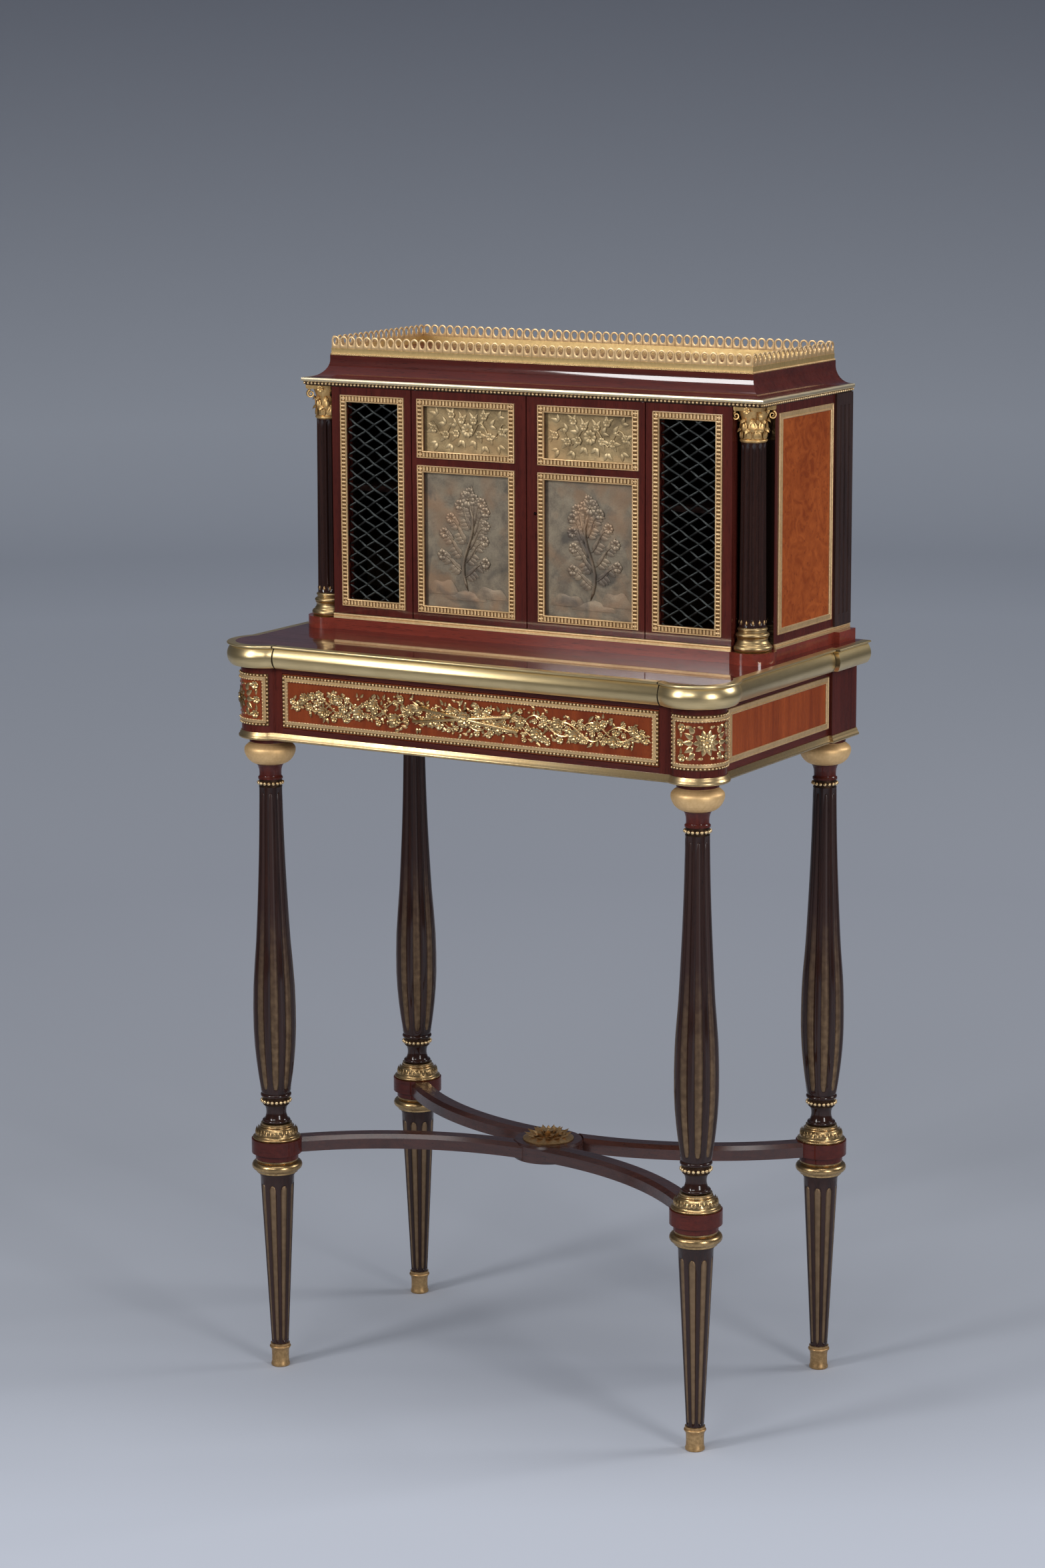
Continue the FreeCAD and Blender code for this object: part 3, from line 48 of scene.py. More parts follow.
eye = Vector((1.9689, -3.3575, 1.3956))
turn_left = math.radians(30.703)
look_down = math.radians(11.106)
lean = math.radians(-0.262)
ahead = Vector((
    -math.sin(turn_left) * math.cos(look_down),
    math.cos(turn_left) * math.cos(look_down),
    -math.sin(look_down),
))
level = Vector((math.cos(turn_left), math.sin(turn_left), 0))
upright = level.cross(ahead)
across = level * math.cos(lean) + upright * math.sin(lean)
upward = upright * math.cos(lean) - level * math.sin(lean)

lens = bpy.data.cameras.new("camera")
lens.sensor_fit = "VERTICAL"
lens.sensor_height = 36
lens.lens = 88.42
camera = bpy.data.objects.new("camera", lens)
camera.matrix_world = Matrix.Translation(eye) @ Matrix((across, upward, -ahead)).transposed().to_4x4()
bpy.context.scene.collection.objects.link(camera)
bpy.context.scene.camera = camera
bpy.context.scene.view_settings.view_transform = "Standard"


# Studio: one sheet of paper that lies flat under the desk and curves up into a wall all round it.
# Its colour holds painted light and shade: pale under and behind the desk as if lit by the lamps,
# and painted shade to its sides and in front. Soft boxes hang above and all round. None of it is
# part of the desk.

MERGE = 1e-6


class Shade:
    """A socket in a material's node tree, on which plain arithmetic adds the Math nodes."""

    def __init__(self, tree, socket=None):
        self.tree = tree
        self.socket = socket

    def node(self, kind, settings=None, output=0, **sockets):
        """Adds a node: its settings first, a ramp's stops among them, then its sockets' values or
        links. A socket that is reached by its number is given under the name at_NUMBER."""
        made = self.tree.nodes.new(kind)
        for name, setting in (settings or {}).items():
            if name == "stops":
                elements = made.color_ramp.elements
                while len(elements) < len(setting):
                    elements.new(0.5)
                for element, (position, colour) in zip(elements, setting):
                    element.position = position
                    element.color = (*colour, 1)
            else:
                setattr(made, name, setting)
        for name, value in sockets.items():
            key = int(name[3:]) if name.startswith("at_") else name.replace("_", " ")
            if isinstance(value, Shade):
                self.tree.links.new(value.socket, made.inputs[key])
            else:
                made.inputs[key].default_value = value
        return Shade(self.tree, made.outputs[output] if made.outputs else None)

    def output(self, number):
        """Another output of the node that this value comes from."""
        return Shade(self.tree, self.socket.node.outputs[number])

    def maths(self, operation, first, second=0.0):
        return self.node("ShaderNodeMath", {"operation": operation}, at_0=first, at_1=second)

    def __add__(self, other):
        return self.maths("ADD", self, other)

    def __sub__(self, other):
        return self.maths("SUBTRACT", self, other)

    def __rsub__(self, other):
        return self.maths("SUBTRACT", other, self)

    def __mul__(self, other):
        return self.maths("MULTIPLY", self, other)

    def __truediv__(self, other):
        return self.maths("DIVIDE", self, other)

    def __pow__(self, other):
        return self.maths("POWER", self, other)

    def __abs__(self):
        return self.maths("ABSOLUTE", self)

    __radd__ = __add__

    def xyz(self):
        """The three numbers of a place."""
        parts = self.node("ShaderNodeSeparateXYZ", Vector=self)
        return [parts.output(i) for i in range(3)]

    def noise(self, scale, detail=2.0, warp=0.0):
        """Clouds over a place, from 0 to 1. scale is how many fit in a metre."""
        return self.node("ShaderNodeTexNoise", Vector=self, Scale=scale, Detail=detail, Distortion=warp)

    def between(self, low, high):
        """0 where the value is under low, 1 where it is over high, and even steps between them."""
        return self.node("ShaderNodeMapRange", {"clamp": True}, at_0=self, at_1=low, at_2=high)

    def blend(self, colour, other):
        """From colour to other as this value goes from 0 to 1."""
        colours = [c if isinstance(c, Shade) else (*c, 1) for c in (colour, other)]
        settings = {"data_type": "RGBA", "clamp_factor": True}
        return self.node("ShaderNodeMix", settings, 2, at_0=self, at_6=colours[0], at_7=colours[1])


def new_finish(name):
    """An empty material, the start of its maths, and the place of each of its points."""
    material = bpy.data.materials.new(name)
    material.use_nodes = True
    material.node_tree.nodes.clear()
    start = Shade(material.node_tree)
    return material, start, start.node("ShaderNodeTexCoord", output=3)


def surface(start, colour, roughness, relief=None, depth=0.0, **constants):
    """Ends a finish in a Principled shader. relief is a height from 0 to 1, and depth its metres."""
    if relief is not None:
        bump = start.node("ShaderNodeBump", Strength=1.0, Distance=depth, Height=relief)
        constants["Normal"] = bump
    shader = start.node("ShaderNodeBsdfPrincipled", Base_Color=colour, Roughness=roughness, **constants)
    start.node("ShaderNodeOutputMaterial", Surface=shader)


def skin(rings, around=True, along=False):
    """Points and faces over rows of points of one length. around joins the last point of a row to
    its first, and along joins the last row to the first."""
    points = [point for ring in rings for point in ring]
    wide = len(rings[0])
    faces = []
    for row in range(len(rings) if along else len(rings) - 1):
        low = row * wide
        high = (row + 1) % len(rings) * wide
        for i in range(wide if around else wide - 1):
            j = (i + 1) % wide
            faces.append((low + i, low + j, high + j, high + i))
    return points, faces


def shape(name, parts, smooth_to=40):
    """An object of those parts, its doubles merged and its faces turned outward."""
    made = bmesh.new()
    for points, faces in parts:
        corners = [made.verts.new(point) for point in points]
        for face in faces:
            made.faces.new([corners[i] for i in face])
    bmesh.ops.remove_doubles(made, verts=made.verts, dist=MERGE)
    bmesh.ops.dissolve_degenerate(made, edges=made.edges, dist=MERGE)
    bmesh.ops.recalc_face_normals(made, faces=made.faces)
    mesh = bpy.data.meshes.new(name)
    made.to_mesh(mesh)
    made.free()
    mesh.shade_smooth()
    mesh.set_sharp_from_angle(angle=math.radians(smooth_to))
    piece = bpy.data.objects.new(name, mesh)
    bpy.context.scene.collection.objects.link(piece)
    return piece


def turned(profile, x=0.0, y=0.0, around=48, carve=None):
    """A turning about the upright line at x, y from (radius, height) pairs. carve(angle, height)
    is how deep the surface lies under the turned one. A radius of 0 closes an end."""
    rings = []
    for radius, z in profile:
        ring = []
        for i in range(around):
            angle = i * math.tau / around
            r = radius - (carve(angle, z) if carve and radius else 0)
            ring.append((x + r * math.cos(angle), y + r * math.sin(angle), z))
        rings.append(ring)
    return skin(rings)


def arc(radius, z, size, start, end, steps=8):
    """Profile points on an arc about (radius, z). Degrees, 0 outward and 90 up."""
    sweep = [math.radians(start + (end - start) * i / steps) for i in range(steps + 1)]
    return [(radius + size * math.cos(a), z + size * math.sin(a)) for a in sweep]


PAINTED_SHADE_GREY = (0.17, 0.18, 0.205)
STUDIO_RADIUS = 9.0
WALL_CURVE = 2.5
WALL_TOP = 7.0
sheet_profile = [(0, 0), (1, 0), (3, 0), (5, 0)]
sheet_profile += arc(STUDIO_RADIUS - WALL_CURVE, WALL_CURVE, WALL_CURVE, -90, 0, 16)
sheet_profile += [(STUDIO_RADIUS, WALL_TOP)]
studio = shape("studio_sheet", [turned(sheet_profile, around=96)])
studio.data.flip_normals()

sheet_finish, start, place = new_finish("studio_paper")
x, y, z = place.xyz()
reach = (x * x + y * y) ** 0.5 + z
PAPER_REACH = 12.0
# The ramp paints the lamps' light and falloff into the sheet: paler near and behind the desk, darker far
# off.
stops = [
    (0.0, (0.42, 0.444, 0.50)), (0.08, (0.345, 0.365, 0.41)), (0.20, (0.46, 0.485, 0.545)),
    (0.45, (0.88, 0.92, 0.99)), (0.65, (0.90, 0.94, 1.0)), (0.90, (0.30, 0.32, 0.375)),
]
paper_and_painted_light = start.node("ShaderNodeValToRGB", {"stops": stops}, Fac=reach / PAPER_REACH)
near_side = x * math.sin(turn_left) - y * math.cos(turn_left)
# Painted light: a flat pale tone on the floor nearest the camera.
paper_and_painted_light = (near_side + 0.1).between(0, 0.5).blend(paper_and_painted_light, (0.50, 0.53, 0.60))
from_middle = abs(x * level.x + y * level.y)
# Painted shade: greyer far to the desk's sides and in front of it.
paper_and_painted_light = (from_middle.between(1.7, 3.2) * 0.85).blend(paper_and_painted_light, PAINTED_SHADE_GREY)
in_front = 0 - y
paper_and_painted_light = (in_front.between(0.7, 1.7) * 0.75 - in_front.between(2.6, 3.4) * 0.45).blend(paper_and_painted_light, PAINTED_SHADE_GREY)
surface(start, paper_and_painted_light, 0.9)
studio.data.materials.append(sheet_finish)


def lamp(name, at, aim, width, height, power):
    """A soft box at a point, facing another."""
    light = bpy.data.lights.new(name, "AREA")
    light.shape = "RECTANGLE"
    light.size = width
    light.size_y = height
    light.energy = power
    box = bpy.data.objects.new(name, light)
    toward = Vector(aim) - Vector(at)
    box.matrix_world = Matrix.Translation(at) @ toward.to_track_quat("-Z", "Y").to_matrix().to_4x4()
    bpy.context.scene.collection.objects.link(box)


desk_middle = (0, 0, 0.6)
cabinet_middle = (0, 0, 1.0)
lamp("left_soft_box", (-1.25, -2.75, 2.03), cabinet_middle, 0.62, 1.44, 40)
lamp("right_soft_box", (3.3, -1.6, 1.6), cabinet_middle, 0.8, 1.5, 48)
lamp("back_soft_box", (2.8, 2.2, 2.5), desk_middle, 1.2, 1.2, 42)
lamp("front_soft_box", (0.3, -4.2, 3.0), desk_middle, 1.8, 1.0, 35)
lamp("top_soft_box", (0.1, -0.3, 4.2), desk_middle, 2.6, 2.0, 60)
world = bpy.data.worlds.new("studio_air")
world.use_nodes = True
air = world.node_tree.nodes["Background"]
air.inputs["Color"].default_value = (0.80, 0.86, 1.0, 1)
air.inputs["Strength"].default_value = 0.25
bpy.context.scene.world = world


# Carcass: rails, posts, plinth, cornice and door frames are mahogany, planed, stained deep red and
# French polished, so that the pores are nearly full and lamps mirror in the shellac. Joints are
# mortised or dovetailed, and glued.


def fit(piece, finish, slot, body="root", *stands_for):
    """Gives a finished piece its material and its body, and hides the plain solids it stands for."""
    piece.data.materials.clear()
    piece.data.materials.append(finish)
    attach(piece, body)
    if stands_for:
        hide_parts(*stands_for)


def coat(finish, *nodes):
    """Gives solids that stay as they are their material."""
    for name in nodes:
        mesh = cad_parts[name].data
        mesh.materials.clear()
        mesh.materials.append(finish)


INSIDE_PAINTED_SHADE = (0.008, 0.004, 0.003)
MASK_EDGE = 0.0003


def wood(name, pale, deep, along, figure=0.5, gloss=0.22, pore=0.00004, band=26.0, coat_weight=1.0,
         outside=None, polish=0.05, dull_within=None):
    """Polished wood whose grain runs along "X", "Y" or "Z": wide dark and pale bands, finer streaks
    in them, and short pores that leave a faint dent. Nearer the desk's middle than outside it is
    painted near black as painted shade, and it has no polish behind dull_within's front line, in its half
    width."""
    finish, start, place = new_finish(name)
    stretch = {axis: 1.0 for axis in "XYZ"}
    stretch[along] = 0.06
    drawn = start.node("ShaderNodeMapping", Vector=place, Scale=tuple(stretch.values()))
    bands = drawn.noise(band, 4.0, 0.6)
    streaks = drawn.noise(band * 9, 3.0)
    pores = drawn.noise(band * 60, 1.0)
    cloud = place.noise(9.0)
    x, y, _ = place.xyz()
    tone = bands.between(0.3, 0.7) * figure + streaks.between(0.3, 0.7) * (0.7 - figure * 0.5)
    tone = tone + (cloud - 0.5) * 0.5
    pits = pores.between(0.60, 0.68)
    colour = tone.blend(pale, deep)
    colour = (pits * 0.55).blend(colour, tuple(c * 0.35 for c in deep))
    # Painted shade: faces nearer the middle than outside go near black.
    if outside is not None:
        colour = (1 - abs(x).between(outside, outside + MASK_EDGE)).blend(colour, INSIDE_PAINTED_SHADE)
    if dull_within is not None:
        half, front = dull_within
        inside = 1 - abs(x).between(half, half + MASK_EDGE)
        coat_weight = (1 - inside * y.between(front - MASK_EDGE, front)) * coat_weight
    surface(
        start, colour, streaks * 0.10 + pits * 0.08 + gloss, 1 - pits * 0.8 - streaks * 0.3, pore,
        Specular_IOR_Level=0.05, Coat_Weight=coat_weight, Coat_Roughness=polish, Coat_IOR=1.6,
    )
    return finish


RED_PALE = (0.115, 0.021, 0.014)
RED_DEEP = (0.046, 0.009, 0.007)
mahogany_across = wood("mahogany_across", RED_PALE, RED_DEEP, "X")
mahogany_upright = wood("mahogany_upright", RED_PALE, RED_DEEP, "Z")
mahogany_back = wood("mahogany_back", RED_PALE, RED_DEEP, "Y", coat_weight=0.4)
mahogany_posts = wood("mahogany_posts", RED_PALE, RED_DEEP, "Z", coat_weight=0.4)
# The sides' inner faces, inside the cabinet, take painted shade.
mahogany_sides = wood("mahogany_sides", RED_PALE, RED_DEEP, "Z", coat_weight=0.6, outside=0.2640)
mahogany_drums = wood("mahogany_drums", RED_PALE, RED_DEEP, "X", coat_weight=0.3)
# A paler copy of the mahogany for the plinth: painted light, for the reflection its front catches.
plinth_painted_light = wood("plinth_painted_light", (0.27, 0.046, 0.027), (0.130, 0.022, 0.014), "X")
mahogany_cornice = wood("mahogany_cornice", RED_PALE, RED_DEEP, "X", dull_within=(0.2443, -0.0111))
mahogany_dull = wood("mahogany_tray", RED_PALE, RED_DEEP, "X", gloss=0.5, coat_weight=0.0)

coat(mahogany_across, "back_rail", "drawer_rails", "writing_top", "cabinet_bottom")
coat(mahogany_cornice, "cornice_cove")
coat(mahogany_drums, "stretcher_drums")
coat(plinth_painted_light, "cabinet_plinth")
coat(mahogany_dull, "cabinet_cap")
coat(mahogany_sides, "cabinet_sides")
coat(mahogany_posts, "front_posts", "back_posts")
coat(mahogany_back, "side_rails")
for side in ("left", "right"):
    coat(mahogany_upright, f"{side}_wire_door_frame", f"{side}_panel_door_frame")


# Stretcher: four incurved arms and a round platform sawn from darker mahogany, tenoned into the
# drums and into the platform. The legs and the column shafts are stained as dark, and the cabinet's
# inside is painted near black as painted shade.

DARK_PALE = (0.036, 0.014, 0.010)
DARK_DEEP = (0.011, 0.005, 0.004)
dark_upright = wood("dark_mahogany_upright", DARK_PALE, DARK_DEEP, "Z", gloss=0.26)
leg_pale, leg_deep = (0.040, 0.015, 0.010), (0.012, 0.005, 0.004)
dark_legs = wood("dark_mahogany_legs", leg_pale, leg_deep, "Z", coat_weight=0.55)
arm_pale, arm_deep = (0.080, 0.024, 0.015), (0.026, 0.009, 0.007)
dark_across = wood("dark_mahogany_across", arm_pale, arm_deep, "X", polish=0.20)
coat(dark_across, "stretcher_arms", "stretcher_platform")
# Painted shade: shelves and partitions are painted near black, as the cabinet's inside lies in shade.
inside_painted_shade_wood = wood("inside_painted_shade", (0.020, 0.009, 0.007), INSIDE_PAINTED_SHADE, "X", coat_weight=0.1)
coat(inside_painted_shade_wood, "shelves", "partitions")
coat(dark_upright, "column_shafts")


# Hidden joinery: oak drawer linings, runners and back board, waxed only, and a steel lock and
# pivot pins.

oak = wood("oak", (0.42, 0.27, 0.14), (0.24, 0.14, 0.065), "X", 0.6, 0.5, 0.0001, 40.0, 0.0)
coat(oak, "drawer_sides", "drawer_back", "drawer_bottom", "drawer_runners", "cabinet_back")

steel, start, place = new_finish("steel")
scratches = place.noise(900.0)
colour = scratches.blend((0.30, 0.30, 0.31), (0.17, 0.17, 0.18))
surface(start, colour, scratches * 0.2 + 0.3, scratches, 0.00002, Metallic=1.0)
coat(steel, "drawer_lock", "door_lock", "door_pivot_pins")


# Veneers: satinwood on the frieze, with its stripes upright, and burr on the cabinet's sides, each
# a sheet laid on the ground inside its gilt frame.

stripes = {"figure": 0.8, "pore": 0.00003, "band": 60.0}
side_pale, side_deep = (0.39, 0.080, 0.018), (0.21, 0.036, 0.009)
satinwood = wood("satinwood", side_pale, side_deep, "Z", coat_weight=0.35, **stripes)
front_pale, front_deep = (0.30, 0.062, 0.018), (0.17, 0.030, 0.010)
satinwood_front = wood("satinwood_front", front_pale, front_deep, "Z", coat_weight=0.6, **stripes)
coat(satinwood_front, "drawer_front")

burr, start, place = new_finish("burr")
swirl = place.noise(55.0, 5.0, 2.2)
eyes = start.node("ShaderNodeTexVoronoi", Vector=place, Scale=170.0)
patches = place.noise(14.0)
tone = swirl.between(0.32, 0.68) * 0.75 + patches.between(0.35, 0.65) * 0.35
colour = tone.blend((0.42, 0.098, 0.022), (0.235, 0.044, 0.010))
colour = ((1 - eyes.between(0.05, 0.28)) * 0.6).blend(colour, (0.13, 0.026, 0.009))
surface(
    start, colour, swirl * 0.12 + 0.20, swirl, 0.00003,
    Specular_IOR_Level=0.05, Coat_Weight=0.4, Coat_Roughness=0.06,
)

LEAF_OF_VENEER = 0.0003


def slab(low, high):
    """A plain block between two corners."""
    (x0, y0, z0), (x1, y1, z1) = low, high
    return skin([
        [(x0, y0, z0)] * 4,
        [(x0, y0, z0), (x1, y0, z0), (x1, y1, z0), (x0, y1, z0)],
        [(x0, y0, z1), (x1, y0, z1), (x1, y1, z1), (x0, y1, z1)],
        [(x0, y0, z1)] * 4,
    ])


FRIEZE_SIDE = 0.2712
CABINET_SIDE = 0.2647
side_panels = (
    ("frieze_veneers", satinwood, FRIEZE_SIDE, -0.104, 0.103, 0.701, 0.745),
    ("cabinet_veneers", burr, CABINET_SIDE, 0.012, 0.121, 0.811, 1.020),
)
for name, finish, face, y0, y1, z0, z1 in side_panels:
    sheets = []
    for way in (-1, 1):
        inner, outer = sorted((way * face, way * (face + LEAF_OF_VENEER)))
        sheets.append(slab((inner, y0, z0), (outer, y1, z1)))
    fit(shape(name, sheets), finish, "satinwood")


# Gilt bronze: the mounts are cast, chased and fire gilt, matt in the hollows and burnished where
# they stand proud. Each is pinned to the wood or threaded on a leg's dowel.


def bronze(name, bright, hollow, shine=0.34, grain=420.0, depth=0.00008, metal=1.0):
    """Gilt metal with fine chasing: darker and duller in the hollows of its grain. Matt gilding
    scatters light like paint, which a metal share under 1 stands for."""
    finish, start, place = new_finish(name)
    tooling = place.noise(grain, 3.0)
    wear = place.noise(grain / 9, 3.0)
    tone = tooling.between(0.35, 0.65) * 0.45 + wear.between(0.3, 0.7) * 0.55
    colour = tone.blend(bright, hollow)
    surface(start, colour, shine + tone * 0.10, tooling * 0.7 + wear * 0.3, depth, Metallic=metal)
    return finish


gilt = bronze("gilt_bronze", (0.68, 0.44, 0.205), (0.34, 0.20, 0.085), 0.36, metal=0.85)
pale_gilt = bronze("pale_gilt", (0.80, 0.56, 0.30), (0.56, 0.37, 0.18), 0.36, 300.0, 0.00004, 0.65)
bead_gilt = bronze("bead_gilt", (0.90, 0.68, 0.39), (0.66, 0.45, 0.22), 0.26, 300.0, 0.00002, 0.85)
# Painted shade: a dark gilt for the beds under bead rows and the grounds between ribs.
shadow_gilt = bronze("gilt_painted_shade", (0.19, 0.105, 0.045), (0.10, 0.055, 0.024), 0.45, 500.0)
old_brass = bronze("brass_in_flutes", (0.30, 0.195, 0.11), (0.18, 0.115, 0.065), 0.40, 160.0, metal=0.8)


# Sabots: gilt bronze cups that shoe the feet, turned with a flared rim and a rounded lip below it,
# and pushed up over the end of each foot.

LEG_X = 0.250
LEG_FRONT = -0.131
LEG_BACK = 0.147
LEGS = {
    "front_left": (-LEG_X, LEG_FRONT),
    "front_right": (LEG_X, LEG_FRONT),
    "back_left": (-LEG_X, LEG_BACK),
    "back_right": (LEG_X, LEG_BACK),
}
SABOT_TOP = 0.025


def on_legs(profile, around=48, carve=None):
    """The same turning on each of the four legs."""
    return [turned(profile, *at, around, carve) for at in LEGS.values()]


sabot = [(0, 0), (0.0092, 0), (0.0099, 0.0008), (0.0099, 0.0028), (0.0092, 0.0042), (0.0090, 0.010)]
sabot += [(0.0092, 0.0165), (0.0098, 0.0188)]
sabot += arc(0.0100, 0.0212, 0.0013, -60, 90, 6) + [(0.0102, SABOT_TOP), (0, SABOT_TOP)]
fit(shape("sabots_cast", on_legs(sabot)), gilt, "gilt_bronze", "root", "sabots")


# Feet: tapered turnings of dark mahogany with eight flutes, each flute filled with a brass rod that
# is rounded off at both ends. The wood stays plain for a finger's width under the ring.

FLUTES = 8
FOOT_TOP = 0.214
FOOT_TOP_RADIUS = 0.018
FOOT_LOW_RADIUS = 0.0089
FOOT_TURN = math.radians(15)
FOOT_FLUTES_LOW, FOOT_FLUTES_HIGH = 0.0275, 0.203


def foot_radius(z):
    share = (z - SABOT_TOP) / (FOOT_TOP - SABOT_TOP)
    return FOOT_LOW_RADIUS + (FOOT_TOP_RADIUS - FOOT_LOW_RADIUS) * share


def fluted_stretch(radius, low, high, steps):
    """Profile points between two heights, closer together near the flutes' rounded ends."""
    spread = [(1 - math.cos(math.pi * i / steps)) / 2 for i in range(steps + 1)]
    return [(radius(low + (high - low) * t), low + (high - low) * t) for t in spread]


def flute_depth(radius, low, high, turn, flutes=FLUTES, share=0.33, fall=0.55):
    """How deep the flutes lie at an angle and height. share is half their width of their pitch."""

    def depth(angle, z):
        if not low < z < high:
            return 0
        pitch = math.tau / flutes
        off = abs((angle - turn + pitch / 2) % pitch - pitch / 2) * radius(z)
        half = share * pitch * radius(z)
        rounding = min(1, math.sqrt(min(z - low, high - z) / half))
        half *= rounding
        return fall * half * math.sqrt(1 - (off / half) ** 2) if off < half else 0

    return depth


def flute_rods(radius, low, high, turn, at, share=0.30, sunk=0.0007):
    """Half-round rods that fill flutes, with rounded ends."""
    steps = 20
    rods = []
    for k in range(FLUTES):
        angle = turn + k * math.tau / FLUTES
        out = Vector((math.cos(angle), math.sin(angle), 0))
        side = Vector((-math.sin(angle), math.cos(angle), 0))
        rings = []
        for i in range(steps + 1):
            t = (1 - math.cos(math.pi * i / steps)) / 2
            z = low + (high - low) * t
            half = share * math.tau / FLUTES * radius(z)
            half *= math.sqrt(max(0, min(1, min(z - low, high - z) / half)))
            base = Vector((*at, z)) + out * (radius(z) - sunk - half * 0.5)
            rings.append([
                base + side * (half * math.cos(a)) + out * (half * 0.62 * math.sin(a))
                for a in (math.radians(d) for d in range(0, 360, 36))
            ])
        rods.append(skin(rings))
    return rods


foot = [(0, SABOT_TOP - 0.006), (0.0080, SABOT_TOP - 0.006), (0.0080, SABOT_TOP)]
foot += [(foot_radius(SABOT_TOP), SABOT_TOP)]
foot += fluted_stretch(foot_radius, FOOT_FLUTES_LOW, FOOT_FLUTES_HIGH, 24)
foot += [(foot_radius(0.2105), 0.2105), (0.0190, 0.2125), (0.0190, FOOT_TOP), (0, FOOT_TOP)]
foot_flutes = flute_depth(foot_radius, FOOT_FLUTES_LOW, FOOT_FLUTES_HIGH, FOOT_TURN)
feet = shape("feet_fluted", on_legs(foot, 120, foot_flutes), 50)
fit(feet, dark_legs, "dark_mahogany", "root", "leg_feet")
rods = []
for at in LEGS.values():
    rods += flute_rods(foot_radius, FOOT_FLUTES_LOW + 0.001, FOOT_FLUTES_HIGH - 0.001, FOOT_TURN, at)
fit(shape("foot_flute_brasses", rods, 60), old_brass, "polished_brass")


# Leg rings: a turned gilt torus under each drum, and above and below each vase a string of gilt
# beads on a core painted near black as the shade between them. They are threaded on the dowels
# that join the leg's lengths.

torus = [(0, 0.2142), (0.0205, 0.2142), (0.0218, 0.2150), (0.0218, 0.2168), (0.0224, 0.2172)]
torus += arc(0.0218, 0.22175, 0.0047, -72, 72, 10)
torus += [(0.0212, 0.2266), (0.0220, 0.2276), (0.0218, 0.2290), (0.0205, 0.2295), (0, 0.2295)]
BEAD_STRINGS = ((0.0138, 0.0167, 0.288, 0.296), (0.0118, 0.0143, 0.628, 0.636))
ring_gilt = bronze("turned_gilt", (0.62, 0.425, 0.205), (0.30, 0.185, 0.080), 0.24, 300.0, 0.00004, 0.95)
fit(shape("leg_rings_cast", on_legs(torus)), ring_gilt, "gilt_bronze", "root", "leg_rings")
cores = []
for core, _, low, high in BEAD_STRINGS:
    middle = (low + high) / 2
    string = [(0, low), (core, low)] + arc(core, middle, 0.0010, -90, 90, 6) + [(core, high), (0, high)]
    cores += on_legs(string)
# Painted shade: the core between the beads is painted near black.
core_painted_shade = bronze("bead_core_painted_shade", (0.075, 0.042, 0.026), (0.035, 0.020, 0.014), 0.40)
fit(shape("bead_string_cores", cores), core_painted_shade, "gilt_bronze")

ROW_INPUTS = (
    ("Unit", "NodeSocketObject"),
    ("Pitch", "NodeSocketFloat"),
    ("Facing", "NodeSocketVector"),
    ("Face across the path", "NodeSocketBool"),
    ("Finish", "NodeSocketMaterial"),
)


def make_row_tree():
    """Geometry nodes that set copies of a unit every pitch along a path, the unit's X along the
    path and its Z towards Facing, or across the path and Facing both."""
    tree = bpy.data.node_groups.new("row_of_units", "GeometryNodeTree")
    tree.interface.new_socket("Path", in_out="INPUT", socket_type="NodeSocketGeometry")
    for label, kind in ROW_INPUTS:
        tree.interface.new_socket(label, in_out="INPUT", socket_type=kind)
    tree.interface.new_socket("Row", in_out="OUTPUT", socket_type="NodeSocketGeometry")
    given = Shade(tree).node("NodeGroupInput")
    path, unit, pitch, facing, crossed, finish = (given.output(i) for i in range(6))
    curve = given.node("GeometryNodeMeshToCurve", at_0=path)
    spots = given.node("GeometryNodeResampleCurve", {"mode": "LENGTH"}, Curve=curve, Length=pitch)
    tangent = given.node("GeometryNodeInputTangent")
    settings = {"operation": "CROSS_PRODUCT"}
    outward = given.node("ShaderNodeVectorMath", settings, at_0=tangent, at_1=facing)
    settings = {"input_type": "VECTOR"}
    face = given.node("GeometryNodeSwitch", settings, at_0=crossed, at_1=facing, at_2=outward)
    lined = given.node("FunctionNodeAlignRotationToVector", {"axis": "X"}, Vector=tangent)
    settings = {"axis": "Z", "pivot_axis": "X"}
    faced = given.node("FunctionNodeAlignRotationToVector", settings, Rotation=lined, Vector=face)
    model = given.node("GeometryNodeObjectInfo", output="Geometry", Object=unit)
    copies = given.node("GeometryNodeInstanceOnPoints", Points=spots, Instance=model, Rotation=faced)
    solid = given.node("GeometryNodeRealizeInstances", at_0=copies)
    dressed = given.node("GeometryNodeSetMaterial", Geometry=solid, Material=finish)
    given.node("NodeGroupOutput", at_0=dressed)
    return tree


row_tree = make_row_tree()


